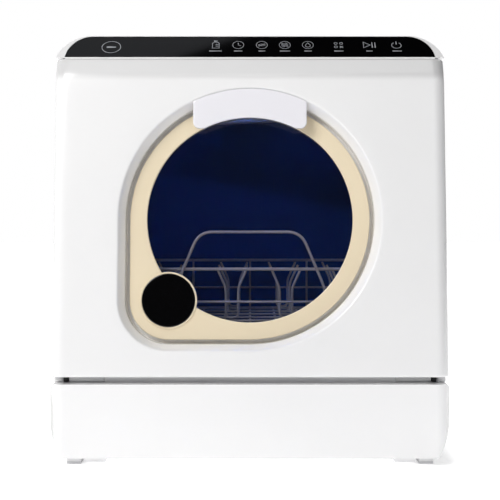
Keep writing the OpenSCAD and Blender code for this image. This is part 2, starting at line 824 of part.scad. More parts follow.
module tank_hose() {
    color("gray") hollow_run([
        [tank_out_x, tank_out_y, base_top + 10], [tank_out_x, tank_out_y, hose_z],
        [tank_out_x, arm_y, hose_z], [tank_out_x, arm_y, sump_low - 0.2]
    ], 7, 5);
}

module fill_funnel() {
    top = body_h - 10.2;
    color("white") translate([fill_x, port_y, 0]) difference() {
        union() {
            translate([0, 0, skirt_z - 1.5]) cylinder(h = top - skirt_z + 1.5, r = 19);
            translate([0, 0, top - 2]) cylinder(h = 2, r = 23);
        }
        translate([0, 0, skirt_z - 3]) cylinder(h = 60, r = 17);
    }
}

module fill_lid() {
    w = fill_lid_w;
    color("white") {
        box([fill_x - w / 2, lid_y0, body_h - 2.8], [fill_x + w / 2, lid_y1, body_h]);
        translate([fill_x - w / 2, lid_y1, lid_axis_z]) rotate([0, 90, 0]) cylinder(h = w, r = 1.8);
        translate([fill_x - w / 2 - 3, lid_y1, lid_axis_z]) rotate([0, 90, 0])
            cylinder(h = w + 6, r = 1.2);
    }
}

module inlet_connector() {
    color("gainsboro") translate([inlet_x, 0, port_z]) difference() {
        union() {
            translate([0, back_y - 20, 0]) rotate([-90, 0, 0]) cylinder(h = 20 + rear_stub, r = 13.2);
            translate([0, back_y + 0.1, 0]) rotate([-90, 0, 0]) cylinder(h = 2.5, r = 17);
        }
        translate([0, back_y - 21, 0]) rotate([-90, 0, 0]) cylinder(h = 60, r = 8);
    }
}

module inlet_valve() {
    y1 = back_y - 20.2;
    color("royalblue") difference() {
        union() {
            box([inlet_x - 15, y1 - 26, port_z - 13], [inlet_x + 15, y1, port_z + 13]);
            translate([inlet_x, y1 - 14, port_z + 12]) cylinder(h = 24, r = 12);
            translate([inlet_x, y1 - 14, foot_h + wall + 0.1])
                cylinder(h = port_z - foot_h - wall - 12, r = 6);
        }
        translate([inlet_x, y1 - 12, port_z]) rotate([-90, 0, 0]) cylinder(h = 20, r = 8);
    }
}

module drain_spigot() {
    color("dimgray") translate([drain_x, 0, port_z]) difference() {
        union() {
            translate([0, back_y - 20, 0]) rotate([-90, 0, 0]) cylinder(h = 20 + rear_stub, r = 8);
            translate([0, back_y + 0.1, 0]) rotate([-90, 0, 0]) cylinder(h = 2.5, r = 12);
        }
        translate([0, back_y - 21, 0]) rotate([-90, 0, 0]) cylinder(h = 60, r = 5.5);
    }
}

module cord_gland() {
    color([0.15, 0.15, 0.15]) translate([-150, 0, 55]) difference() {
        union() {
            translate([0, back_y - 9, 0]) rotate([-90, 0, 0]) cylinder(h = 20, r = 8);
            translate([0, back_y + 0.1, 0]) rotate([-90, 0, 0]) cylinder(h = 5, r = 11, $fn = 6);
            translate([0, back_y - wall - 4, 0]) rotate([-90, 0, 0]) cylinder(h = 3.8, r = 11, $fn = 6);
        }
        translate([0, back_y - 10, 0]) rotate([-90, 0, 0]) cylinder(h = 30, r = 3.7);
    }
}

// ---------- spray arms ----------

// A flat spray arm with rounded ends and a row of jets on each side.
module arm_plate(len, w, t) {
    difference() {
        linear_extrude(t) {
            translate([-len + w / 2, -w / 2]) square([2 * len - w, w]);
            for (s = [-1, 1]) translate([s * (len - w / 2), 0]) circle(w / 2);
        }
        for (s = [-1, 1], k = [1 : 4]) translate([s * (len * k / 4 - 12), (k - 2.5) * 2, t / 2])
            cylinder(h = t, r = 1.4);
    }
}

module lower_spray_arm() {
    color("gainsboro") translate([0, arm_y, tub_floor]) difference() {
        union() {
            translate([0, 0, 4]) cylinder(h = 15, r = 15);
            translate([0, 0, 10.5]) rotate(20) arm_plate(spray_len, 24, 8);
        }
        translate([0, 0, 3]) cylinder(h = 11.3, r = 11.06);
    }
}

module upper_spray_arm() {
    z = pipe_top - 20;
    color("gainsboro") translate([0, arm_y, z]) difference() {
        union() {
            translate([0, 0, -2.3]) cylinder(h = 12, r = 12);
            translate([0, 0, -2.3]) rotate(-25) arm_plate(spray_len, 22, 7);
        }
        translate([0, 0, -0.3]) cylinder(h = 20, r = pipe_r + 0.06);
    }
}

// ---------- basket ----------

rail_y0 = lean_y(frame_y0 + frame_t + 4, rail_top);

module basket_rails() {
    y1 = basket_y1 + 2;
    color("silver") both_sides() {
        box([tub_hw - 14, rail_y0, rail_top - 2.5], [tub_hw - 0.1, y1, rail_top]);
        box([tub_hw - 2.5, rail_y0, rail_top - 2.5], [tub_hw - 0.1, y1, rail_top + 9]);
    }
}

cross_y = [for (k = [1 : 5]) basket_y0 + k * (basket_y1 - basket_y0) / 6];

module basket_floor() {
    x = basket_x;
    z = basket_floor_z;
    color([0.45, 0.42, 0.42]) {
        for (s = [-1, 1]) bar([s * x, basket_y0, z], [s * x, basket_y1, z], wire_r);
        for (y = [basket_y0, basket_y1]) bar([-x, y, z], [x, y, z], wire_r);
        for (s = [-1, 1], y = [basket_y0, basket_y1]) translate([s * x, y, z]) sphere(wire_r + 0.6);
        for (k = [1 : 9]) bar([-x + k * x / 5, basket_y0, z], [-x + k * x / 5, basket_y1, z], thin_r);
        for (y = cross_y) bar([-x, y, z + 2.4], [x, y, z + 2.4], thin_r);
    }
}

post_z0 = basket_floor_z + wire_r + 0.75;

// Upright grille: two corner posts, a rim wire, a middle wire and thin posts between.
module grille(y, thin_x) {
    x = basket_x;
    for (s = [-1, 1]) {
        bar([s * x, y, post_z0], [s * x, y, basket_rim_z], wire_r);
        translate([s * x, y, basket_rim_z]) sphere(wire_r + 0.5);
    }
    bar([-x, y, basket_rim_z], [x, y, basket_rim_z], wire_r);
    bar([-x, y, basket_mid_z], [x, y, basket_mid_z], thin_r);
    for (p = thin_x) bar([p, y, post_z0 - 0.5], [p, y, basket_rim_z], thin_r);
}

// Points of half the front grip loop, from the basket floor up to the level grip.
grip_y = -2.5;
grip_r = 1.6;
grip_half = [[84, post_z0 + 0.3], [84, basket_mid_z + 6], [78, basket_mid_z + 18],
             [56, basket_grip_z - 6], [48, basket_grip_z]];

// Bent wire of the grip, in front of the upright grille.
module grip_loop() {
    y = basket_y0 + grip_y;
    for (s = [-1, 1]) {
        for (i = [0 : 3])
            bar([s * grip_half[i][0], y, grip_half[i][1]],
                [s * grip_half[i + 1][0], y, grip_half[i + 1][1]], grip_r);
        for (i = [1 : 4]) translate([s * grip_half[i][0], y, grip_half[i][1]]) sphere(grip_r + 0.25);
    }
    bar([-grip_half[4][0], y, basket_grip_z], [grip_half[4][0], y, basket_grip_z], grip_r);
}

module basket_front() {
    color([0.45, 0.42, 0.42]) {
        grille(basket_y0, [32 - basket_x, basket_x - 32]);
        grip_loop();
    }
}

module basket_rear() {
    color([0.45, 0.42, 0.42]) grille(basket_y1, [-basket_x / 2, 0, basket_x / 2]);
}

module basket_sides() {
    y0 = basket_y0 + wire_r + 0.8;
    y1 = basket_y1 - wire_r - 0.8;
    color([0.45, 0.42, 0.42]) for (s = [-1, 1]) {
        x = s * basket_x;
        bar([x, y0, basket_rim_z], [x, y1, basket_rim_z], wire_r);
        bar([x, y0, basket_mid_z], [x, y1, basket_mid_z], thin_r);
        for (y = cross_y)
            bar([x, y, basket_floor_z + 4.2], [x, y, basket_rim_z], thin_r);
    }
}

tine_x = [for (x = [-100, -20.5, 41, 110]) x * basket_x / 150];
tine_z0 = basket_floor_z + 2.4 + thin_r + 1.8;

// Pairs of plate supports whose tips lean apart.
module basket_tines() {
    tip = [10, 22];
    low = 34;
    color([0.45, 0.42, 0.42]) for (x = tine_x, k = [0, 2, 4]) {
        y = cross_y[k];
        bar([x - 7, y, tine_z0], [x + 7, y, tine_z0], 1.2);
        for (s = [-1, 1]) {
            foot = [x + s * 7, y, tine_z0];
            bend = [x + s * 7, y, tine_z0 + low];
            top = [x + s * (7 + tip[0]), y, tine_z0 + low + tip[1]];
            translate(foot) sphere(1.6);
            bar(foot, bend, thin_r);
            translate(bend) sphere(1.6);
            bar(bend, top, thin_r);
            translate(top) sphere(1.7);
        }
    }
}

module basket_glides() {
    color("dimgray") both_sides() for (y = [basket_y0 + 6, cross_y[2] - 8, basket_y1 - 22])
        box([basket_x - 6, y, rail_top + 0.3],
            [basket_x + 9, y + 16, basket_floor_z - wire_r - 0.1]);
}

// ---------- drying fan, grille and lamp ----------

fan_y = tub_back + tub_wall + 6;
fan_r = 34;
fan_out = [fan_x - 8, fan_z - 20];

module fan_housing() {
    color([0.2, 0.2, 0.22]) difference() {
        union() {
            translate([fan_x, fan_y, fan_z]) rotate([-90, 0, 0]) cylinder(h = 28, r = fan_r);
            translate([fan_out[0], tub_back + 0.2, fan_out[1]]) rotate([-90, 0, 0])
                cylinder(h = 9, r = 12);
        }
        difference() {
            translate([fan_x, fan_y + 2, fan_z]) rotate([-90, 0, 0]) cylinder(h = 24, r = fan_r - 2);
            translate([fan_x, fan_y + 18, fan_z]) rotate([-90, 0, 0]) cylinder(h = 12, r = 11);
        }
        translate([fan_out[0], tub_back - 1, fan_out[1]]) rotate([-90, 0, 0]) cylinder(h = 12, r = 10);
        translate([fan_x, fan_y + 17, fan_z]) rotate([-90, 0, 0]) cylinder(h = 9, r = 2.05);
        for (k = [0 : 60 : 300]) translate([fan_x, fan_y + 20, fan_z]) rotate([-90, 0, 0]) rotate(k)
            translate([21, 0, 0]) cylinder(h = 12, r = 5);
    }
}

module fan_impeller() {
    color("white") translate([fan_x, fan_y + 17.5, fan_z]) rotate([0, 0, -90])
        wheel(29, 13, 8, -7, 1, 2);
}

module vent_grille() {
    x = 27.7;
    color("white") difference() {
        union() {
            box([fan_x - x, back_y - 2.4, fan_z - x], [fan_x + x, back_y + 0.6, fan_z + x]);
            box([fan_x - x - 4, back_y + 0.1, fan_z - x - 4], [fan_x + x + 4, back_y + 1.6, fan_z + x + 4]);
        }
        for (k = [-3 : 3]) box([fan_x - 24, back_y - 4, fan_z + k * 7.5 - 2],
                               [fan_x + 24, back_y + 4, fan_z + k * 7.5 + 2]);
    }
}

module chamber_lamp() {
    color([0.6, 0.75, 1]) translate([0, lamp_y, 0]) {
        translate([0, 0, tub_top - 1.2]) cylinder(h = tub_wall + 8, r = 9);
        translate([0, 0, tub_top - 2.1]) cylinder(h = 2, r = 12);
    }
}

// ---------- hinges ----------

pin_r = 2.5;
slot_hw = bracket_t / 2 + 1;

// Black bracket on each side, seen as a small square in the groove below the door.
module hinge_brackets() {
    y1 = lean_y(frame_y0, base_top + 2) - 0.4;
    color([0.1, 0.1, 0.1]) both_sides() difference() {
        along_x(bracket_x - bracket_t / 2, bracket_x + bracket_t / 2) {
            translate([hinge_y, hinge_z]) circle(4.5);
            translate([hinge_y, hinge_z - 4]) square([y1 - hinge_y, 8]);
            translate([upstand_y + 0.5, base_top + 0.2]) square([y1 - upstand_y - 0.5, axis_over_base]);
        }
        translate([bracket_x - bracket_t, hinge_y, hinge_z]) rotate([0, 90, 0])
            cylinder(h = 2 * bracket_t, r = pin_r + 0.05);
    }
}

module hinge_pins() {
    color("silver") both_sides() translate([bracket_x - 12, hinge_y, hinge_z]) rotate([0, 90, 0])
        cylinder(h = 23, r = pin_r);
}

// Strips that finish the upstand on both sides of each bracket.
module hinge_covers() {
    z1 = base_top + 5.5;
    color("white") both_sides() {
        box([cover_x0 + gap, upstand_y, base_top + 0.1], [bracket_x - slot_hw, upstand_y + wall, z1]);
        box([bracket_x + slot_hw, upstand_y, base_top + 0.1], [rim_x, upstand_y + wall, z1]);
    }
}

// ---------- door ----------

// Solid outer form of the door, inset all round; the inner one runs out through the back.
module door_form(inset) {
    x = door_hw - inset;
    y1 = inset > 0 ? door_back + 1 : door_back;
    z0 = -axis_up + inset;
    z1 = door_top - inset;
    f = door_front + inset;
    r = corner_r - inset;
    intersection() {
        translate([0, 0, z0]) linear_extrude(z1 - z0) {
            translate([-x, f + r]) square([2 * x, y1 - f - r]);
            translate([-x + r, f]) square([2 * (x - r), 2 * r]);
            for (s = [-1, 1]) translate([s * (x - r), f + r]) circle(r);
        }
        along_x(-x, x) polygon([
            [f, z0], [y1, z0], [y1, z1], [f + band_run, z1], [f, z1 - band_h]
        ]);
        along_y(f, y1) round_box(-x, z0, x, z1, door_corner_r - inset, 3 - inset);
    }
}

door_post_z = [24, win_z, door_top - 24];
door_post_x = door_hw - 12;
pocket_z0 = win_z + pane_r + 2.6;
pocket_z1 = win_z + rim_r - 2.5;
pocket_y1 = ledge_y + 8;
pocket_fit = 0.4;

// Room for the handle's finger pocket.
module pocket_room(y0) {
    box([-pocket_hw - pocket_fit, y0, pocket_z0 - pocket_fit],
        [pocket_hw + pocket_fit, pocket_y1 + pocket_fit, pocket_z1 + pocket_fit]);
}

module bracket_slots() {
    both_sides() box([bracket_x - slot_hw, door_front + 3.5, -axis_up - 1],
                     [bracket_x + slot_hw, door_back + 1, 9]);
}

module door_shell() {
    bevel_y = door_front + bevel_d;
    w = door_wall;
    color("white") leaned() difference() {
        union() {
            difference() {
                door_form(0);
                door_form(w);
            }
            intersection() {
                union() {
                    dee_taper(door_front, rim_r + w, bevel_y, well_r + w);
                    dee_slab(bevel_y - 0.01, ledge_y + w, well_r + w);
                }
                door_form(0);
            }
            // posts for the liner's screws, and bosses for the hinge pins
            intersection() {
                union() {
                    for (s = [-1, 1], z = door_post_z) translate([s * door_post_x, door_front, z])
                        rotate([-90, 0, 0]) cylinder(h = liner_y - 0.2 - door_front, r = 4.5);
                    both_sides() box([bracket_x - 12, door_front, -axis_up], [door_hw, 6, 7]);
                }
                door_form(0.5);
            }
        }
        dee_taper(door_front - 0.01, rim_r, bevel_y, well_r);
        dee_slab(bevel_y - 0.02, ledge_y, well_r);
        door_ring(ledge_y - 1, ledge_y + w + 1, pane_r + 4.5, 0);
        for (s = [-1, 1], z = door_post_z) translate([s * door_post_x, 12, z])
            rotate([-90, 0, 0]) cylinder(h = 30, r = 1.85);
        pocket_room(door_front + w + 0.1);
        bracket_slots();
        both_sides() translate([bracket_x - 12.5, 0, 0]) rotate([0, 90, 0])
            cylinder(h = 24, r = pin_r + 0.05);
        translate([0, lock_yl, door_top - 6]) cylinder(h = 10, r = 5);
    }
}

badge_y = trim_front - 1.5;

module door_trim() {
    lip_r = badge_r + badge_lip;
    y1 = trim_front + trim_t;
    color([0.92, 0.86, 0.74]) leaned() difference() {
        union() {
            difference() {
                dee_slab(trim_front, ledge_y - 0.1, trim_r);
                dee_slab(y1, ledge_y + 1, trim_r - 2.4);
                door_ring(trim_front - 1, y1 + 1, win_r, 0);
            }
            translate([-corner_c, badge_y, win_z - corner_c]) rotate([-90, 0, 0])
                cylinder(h = y1 - badge_y, r = lip_r);
        }
        translate([-corner_c, badge_y - 1, win_z - corner_c]) rotate([-90, 0, 0])
            cylinder(h = 3, r = badge_r + 0.2);
        pocket_room(trim_front - 5);
    }
}

module badge_disc() {
    color([0.03, 0.03, 0.03]) leaned()
        translate([-corner_c, badge_y - 0.3, win_z - corner_c]) rotate([-90, 0, 0])
            cylinder(h = 2.2, r = badge_r);
}

module window_glass() {
    color([0.1, 0.15, 0.3, 0.5]) leaned() door_ring(pane_y, pane_y + pane_t, pane_r, 0);
}

module window_seal() {
    color([0.15, 0.15, 0.17]) leaned() door_ring(seal_y, seal_y + seal_t, pane_r, win_r + 0.4);
}

liner_t = 3;
liner_y = door_back - liner_t;
cup_x1 = open_hw - 12;
cup_w = 60;
cup_z0 = sill_zl + 6;
cup_h = 36;

module door_liner() {
    x = door_hw - door_wall - gap;
    z0 = -axis_up + door_wall + gap;
    z1 = door_top - door_wall - gap;
    guide = 1.5;
    color("whitesmoke") leaned() difference() {
        union() {
            along_y(liner_y, door_back) round_box(-x, z0, x, z1, door_corner_r - door_wall, 1);
            door_ring(seal_y + seal_t + 0.1, liner_y + 0.1, pane_r - 1, win_r + 2.6);
            // guides of the sliding detergent lid
            for (s = [0, 1]) {
                x0 = s == 0 ? cup_x1 - cup_w - 5.5 : cup_x1 + 3.3;
                lap = s == 0 ? x0 : x0 - guide;
                z_top = s == 0 ? cup_z0 + 52 : cup_z0 + 72;
                box([x0, door_back - 0.5, cup_z0], [x0 + 2.2, door_back + 3.6, z_top]);
                box([lap, door_back + 2.4, cup_z0], [lap + 2.2 + guide, door_back + 3.6, z_top]);
            }
        }
        door_ring(liner_y - 2, door_back + 1, win_r + 2.6, 0);
        box([cup_x1 - cup_w + 2, liner_y - 1, cup_z0 + 2], [cup_x1 - 2, door_back + 1, cup_z0 + cup_h - 2]);
        for (s = [-1, 1], z = door_post_z) translate([s * door_post_x, liner_y, z]) rotate([-90, 0, 0]) {
            translate([0, 0, -1]) cylinder(h = 6, r = 2);
            translate([0, 0, 1.4]) cylinder(h = 3, r = 3.8);
        }
        bracket_slots();
    }
}

module door_screws() {
    color("silver") leaned() for (s = [-1, 1], z = door_post_z)
        translate([s * door_post_x, liner_y, z]) rotate([-90, 0, 0]) {
            difference() {
                translate([0, 0, 1.5]) cylinder(h = 1.4, r = 3.6);
                translate([0, 0, 2.8]) cube([5, 0.9, 1.4], center = true);
            }
            translate([0, 0, -14]) cylinder(h = 15.8, r = 1.8);
        }
}

module detergent_cup() {
    color("gainsboro") leaned() difference() {
        box([cup_x1 - cup_w, ledge_y + door_wall + 1, cup_z0],
            [cup_x1, liner_y - 0.1, cup_z0 + cup_h]);
        box([cup_x1 - cup_w + 2, ledge_y + door_wall + 3, cup_z0 + 2],
            [cup_x1 - 2, liner_y + 1, cup_z0 + cup_h - 2]);
    }
}

module detergent_lid() {
    y0 = door_back + 0.3;
    color("gray") leaned() {
        box([cup_x1 - cup_w - 3, y0, cup_z0 - 2.7], [cup_x1 + 3, y0 + 1.8, cup_z0 + cup_h + 3]);
        // thumb ridge
        box([cup_x1 - cup_w / 2 - 12, y0 + 1, cup_z0 + 12],
            [cup_x1 - cup_w / 2 + 12, y0 + 4.6, cup_z0 + 14.5]);
    }
}

module door_strike() {
    z1 = door_top - door_wall - 0.1;
    color("silver") leaned() difference() {
        box([-18, lock_yl - 10, z1 - 1.5], [18, liner_y - 0.3, z1]);
        translate([0, lock_yl, z1 - 3]) cylinder(h = 6, r = 4.5);
    }
}

// Handle: a flush front lip over the trim ring, with a finger pocket behind it.
module door_handle() {
    y0 = door_front;
    y1 = door_front + handle_t;
    t = 2;
    color([0.94, 0.94, 0.96]) leaned() difference() {
        union() {
            intersection() {
                dee_taper(y0, rim_r - pocket_fit, y0 + bevel_d, well_r - pocket_fit);
                along_y(y0, y1)
                    round_box(-handle_hw, win_z + handle_low, handle_hw, win_z + rim_r + 20, 8, 5);
            }
            box([-pocket_hw, y1 - 1, pocket_z0], [pocket_hw, pocket_y1, pocket_z1]);
        }
        translate([0, y0 - 1, win_z]) rotate([-90, 0, 0]) cylinder(h = handle_t + 2, r = win_r - 3.4);
        box([-pocket_hw + t, y1, pocket_z0 - 1], [pocket_hw - t, pocket_y1 - t, pocket_z1 - t]);
    }
}

base_housing();
rubber_feet();
side_panel_left();
side_panel_right();
rear_panel();
top_cover();
control_glass();
control_board();
casing_screws();
tub();
tub_frame();
door_gasket();
sump();
filter_plate();
filter_cup();
wash_pump_housing();
wash_pump_motor();
wash_pump_impeller();
heater_element();
drain_pump_body();
drain_pump_impeller();
drain_hose();
water_tank();
tank_hose();
inlet_valve();
upper_feed_pipe();
lower_spray_arm();
upper_spray_arm();
basket_rails();
basket_floor();
basket_front();
basket_rear();
basket_sides();
basket_tines();
basket_glides();
fan_housing();
fan_impeller();
vent_grille();
door_screws();
chamber_lamp();
door_lock();
lock_bolt();
hinge_brackets();
hinge_pins();
hinge_covers();
fill_lid();
fill_funnel();
inlet_connector();
drain_spigot();
cord_gland();
door_shell();
door_trim();
window_glass();
window_seal();
door_liner();
door_handle();
badge_disc();
detergent_cup();
detergent_lid();
door_strike();
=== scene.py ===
import json
import math

import bmesh
import bpy
from mathutils import Matrix, Vector


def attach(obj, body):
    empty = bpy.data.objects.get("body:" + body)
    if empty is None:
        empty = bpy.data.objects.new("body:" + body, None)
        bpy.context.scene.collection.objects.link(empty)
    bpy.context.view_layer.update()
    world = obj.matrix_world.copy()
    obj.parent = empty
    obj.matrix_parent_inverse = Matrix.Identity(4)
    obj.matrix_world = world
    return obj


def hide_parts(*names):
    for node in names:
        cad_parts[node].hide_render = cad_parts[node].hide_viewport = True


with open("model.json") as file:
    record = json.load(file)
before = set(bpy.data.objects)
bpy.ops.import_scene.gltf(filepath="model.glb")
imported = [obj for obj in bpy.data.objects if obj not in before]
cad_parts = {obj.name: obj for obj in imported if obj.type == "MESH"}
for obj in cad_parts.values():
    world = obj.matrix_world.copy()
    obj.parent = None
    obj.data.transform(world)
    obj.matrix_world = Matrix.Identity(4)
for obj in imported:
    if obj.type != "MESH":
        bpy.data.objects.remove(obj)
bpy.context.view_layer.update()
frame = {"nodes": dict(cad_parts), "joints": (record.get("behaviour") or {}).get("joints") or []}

# ---- Camera ----
# It stands a little over a metre in front of the door, level, at window height. The picture is
# shifted down a little, so that the base comes into view without the sides leaning.
camera_data = bpy.data.cameras.new("camera")
camera_data.lens = 79.49
camera_data.shift_y = -0.07
camera_data.clip_end = 30
camera = bpy.data.objects.new("camera", camera_data)
camera.location = (0, -1.36, 0.2628)
camera.rotation_euler = (math.radians(90), 0, 0)
bpy.context.scene.collection.objects.link(camera)
bpy.context.scene.camera = camera


# ---- Studio ----
# White paper under a bright surround, with soft boxes at the left, at the right and above. The
# room is dark ahead of the door, overhead and at the right, so that the window and the control
# glass stay dark.
def colour(code):
    """The linear value of an sRGB hex colour."""
    parts = [int(code[i:i + 2], 16) / 255 for i in (0, 2, 4)]
    return [c / 12.92 if c <= 0.04045 else ((c + 0.055) / 1.055) ** 2.4 for c in parts] + [1]


def add(tree, kind, inputs=None, stops=(), **settings):
    """Adds a shader node. inputs maps its sockets to values or to other nodes' outputs, and stops
    holds the places and hex colours of a ramp's two ends."""
    node = tree.nodes.new("ShaderNode" + kind)
    for key, value in settings.items():
        setattr(node, key, value)
    for key, value in (inputs or {}).items():
        if isinstance(value, bpy.types.NodeSocket):
            tree.links.new(value, node.inputs[key])
        else:
            node.inputs[key].default_value = value
    for k, (at, code) in enumerate(stops):
        node.color_ramp.elements[k].position = at
        node.color_ramp.elements[k].color = colour(code)
    return node


def soft_box(name, at, aim, size, watts, tone):
    """An area light that faces a point."""
    data = bpy.data.lights.new(name, "AREA")
    data.shape = "RECTANGLE"
    data.size, data.size_y = size
    data.energy = watts
    data.color = colour(tone)[:3]
    light = bpy.data.objects.new(name, data)
    light.location = at
    light.rotation_euler = (Vector(aim) - Vector(at)).to_track_quat("-Z", "Y").to_euler()
    bpy.context.scene.collection.objects.link(light)
    return light


world = bpy.data.worlds.new("studio")
world.use_nodes = True
bpy.context.scene.world = world
sky = world.node_tree
towards = add(sky, "SeparateXYZ", {"Vector": add(sky, "TexCoord").outputs["Generated"]}).outputs
# it darkens overhead, ahead of the door, at the right and a little at the left
brightness = 1.0
for axis, start, end, low, high in (("Z", 0.3, 0.75, 1.0, 0.005), ("Y", -0.85, -0.25, 0.03, 1.0),
                                    ("X", 0.25, 0.7, 1.0, 0.06), ("X", -0.9, -0.3, 0.6, 1.0)):
    side_share = add(sky, "MapRange", {"Value": towards[axis], "From Min": start, "From Max": end,
                                       "To Min": low, "To Max": high},
                     interpolation_type="SMOOTHSTEP").outputs["Result"]
    brightness = add(sky, "Math", {0: brightness, 1: side_share}, operation="MULTIPLY").outputs[0]
sky.nodes["Background"].inputs["Color"].default_value = colour("FFFFFF")
sky.links.new(brightness, sky.nodes["Background"].inputs["Strength"])
soft_box("key", (-1.0, -1.5, 1.35), (0, -0.15, 0.15), (0.9, 0.9), 24.5, "FFFEFC")
soft_box("fill", (1.3, -2.3, 0.9), (0, -0.1, 0.2), (1.2, 1.6), 3.5, "F8FAFF")
soft_box("over", (0.1, -1.5, 2.4), (0, -0.4, 0), (2.0, 1.0), 12, "FFFFFF")
# seen by the left part of the control glass only, with its slanting edge
streak = soft_box("streak", (-0.36, 0.19, 1.6), (-0.36, 0.19, 0), (0.9, 0.5), 0.45, "F4F8FF")
streak.rotation_euler = (0, 0, math.radians(18.6))

floor_half = 9
floor_mesh = bpy.data.meshes.new("paper_sweep")
floor_mesh.from_pydata([(x * floor_half, y * floor_half, 0)
                        for x, y in ((-1, -1), (1, -1), (1, 1), (-1, 1))], [], [(0, 1, 2, 3)])
floor = bpy.data.objects.new("paper_sweep", floor_mesh)
bpy.context.scene.collection.objects.link(floor)
paper = bpy.data.materials.new("matt_paper")
paper.use_nodes = True
sheet = paper.node_tree
paper_surface = sheet.nodes["Principled BSDF"]
paper_surface.inputs["Base Color"].default_value = colour("F8F8F8")
paper_surface.inputs["Roughness"].default_value = 0.9
paper_surface.inputs["Specular IOR Level"].default_value = 0.1
# painted light: the paper itself glows, fully on the far paper and at the body's right, where it fills
# the body's shadow, and less on the near paper
on_paper = add(sheet, "NewGeometry").outputs["Position"]
away = add(sheet, "VectorMath", {0: on_paper}, operation="LENGTH").outputs["Value"]
across = add(sheet, "SeparateXYZ", {"Vector": on_paper}).outputs
painted_glow = 0.0
for place, start, end, low, joined in ((away, 0.22, 0.9, 0.42, "MAXIMUM"),
                                       (across["X"], 0.18, 0.25, 0.0, "MAXIMUM"),
                                       (across["Y"], -0.6, -0.36, 0.2, "MULTIPLY")):
    lit = add(sheet, "MapRange", {"Value": place, "From Min": start, "From Max": end,
                                  "To Min": low}, interpolation_type="SMOOTHSTEP").outputs["Result"]
    painted_glow = add(sheet, "Math", {0: painted_glow, 1: lit}, operation=joined).outputs[0]
paper_surface.inputs["Emission Color"].default_value = colour("FFFFFF")
sheet.links.new(painted_glow, paper_surface.inputs["Emission Strength"])
floor_mesh.materials.append(paper)
bpy.context.scene.view_settings.view_transform = "Standard"


# ---- Base housing ----
# A shallow white tray that carries everything: glossy ABS, injection-moulded in one piece with
# its four skids, the deck behind the groove and the rim that the panels stand in.
def moulded(name, code, roughness, grain_mm=0.5, relief=0.02, coat=0.0):
    """Moulded plastic: nearly even colour, drifting where the melt ran, over a fine texture."""
    material = bpy.data.materials.new(name)
    material.use_nodes = True
    tree = material.node_tree
    surface = tree.nodes["Principled BSDF"]
    at = add(tree, "TexCoord").outputs["Object"]
    # the melt's flow marks are some 80 mm long
    flow = add(tree, "TexNoise", {"Vector": at, "Scale": 1000 / 80, "Detail": 3.0}).outputs["Fac"]
    light, dark = colour(code), [c * 0.965 for c in colour(code)[:3]] + [1]
    tone = add(tree, "Mix", {0: flow, 6: light, 7: dark}, data_type="RGBA").outputs[2]
    tree.links.new(tone, surface.inputs["Base Color"])
    grain = add(tree, "TexNoise", {"Vector": at, "Scale": 1000 / grain_mm, "Detail": 2.0})
    rough = add(tree, "MapRange", {"Value": grain.outputs["Fac"], "To Min": roughness * 0.9,
                                   "To Max": roughness * 1.1}).outputs["Result"]
    tree.links.new(rough, surface.inputs["Roughness"])
    bump = add(tree, "Bump", {"Height": grain.outputs["Fac"], "Strength": relief,
                              "Distance": 0.0002})
    tree.links.new(bump.outputs["Normal"], surface.inputs["Normal"])
    surface.inputs["IOR"].default_value = 1.53
    surface.inputs["Coat Weight"].default_value = coat
    surface.inputs["Coat Roughness"].default_value = 0.08
    return material


def dress(material, *names):
    """Gives CAD nodes a material."""
    for name in names:
        node = frame["nodes"][name]
        node.data.materials.clear()
        node.data.materials.append(material)


def ease(width, *names):
    """Softens the edges of CAD nodes, as a mould does. Their points are welded and flat facets are
    joined first, so that the shading stays even across each flat face."""
    for name in names:
        node = frame["nodes"][name]
        weld = node.modifiers.new("weld", "WELD")
        weld.merge_threshold = 0.00001
        flat = node.modifiers.new("flat", "DECIMATE")
        flat.decimate_type = "DISSOLVE"
        flat.angle_limit = math.radians(0.4)
        edge = node.modifiers.new("edge", "BEVEL")
        edge.width = width / 1000
        edge.segments = 2
        edge.limit_method = "ANGLE"
        edge.angle_limit = math.radians(50)
        edge.use_clamp_overlap = True
        even = node.modifiers.new("even", "WEIGHTED_NORMAL")
        even.keep_sharp = True


# the polished tool leaves clear highlights with slightly soft edges
white_abs = moulded("white_abs_glossy", "F4F4F5", 0.2, grain_mm=0.8, coat=0.25)
dress(white_abs, "base_housing")
ease(1.2, "base_housing")


# ---- Rubber feet ----
# Four pads at the outer ends of the skids, moulded in two shots and pressed into the base: a pale
# matt rubber body over a grey sole.
rubber = moulded("moulded_rubber", "E9E9EA", 0.75, grain_mm=0.4, relief=0.15)
rubber_tree = rubber.node_tree
rubber_surface = rubber_tree.nodes["Principled BSDF"]
above = add(rubber_tree, "SeparateXYZ", {
    "Vector": add(rubber_tree, "NewGeometry").outputs["Position"]}).outputs["Z"]
# the two shots meet about 3 mm above the floor
sole = add(rubber_tree, "MapRange", {"Value": above, "From Min": 0.0026, "From Max": 0.0034,
                                     "To Min": 1.0, "To Max": 0.0},
           interpolation_type="SMOOTHSTEP").outputs["Result"]
upper_shot = rubber_surface.inputs["Base Color"].links[0].from_socket
two_shots = add(rubber_tree, "Mix", {0: sole, 6: upper_shot, 7: colour("CCCCCE")},
                data_type="RGBA").outputs[2]
rubber_tree.links.new(two_shots, rubber_surface.inputs["Base Color"])
dress(rubber, "rubber_feet")
ease(1.0, "rubber_feet")

# ---- Wash chamber ----
# The tub is dark blue polypropylene with a satin skin, open towards the door. The sealing frame
# round its mouth is a ring of white ABS that carries the rubber gasket.
navy = moulded("navy_polypropylene", "2B5B92", 0.55, grain_mm=1.2, relief=0.05)
navy.node_tree.nodes["Principled BSDF"].inputs["Specular IOR Level"].default_value = 0.12
dress(navy, "tub")
dress(white_abs, "tub_frame")
ease(0.6, "tub_frame")
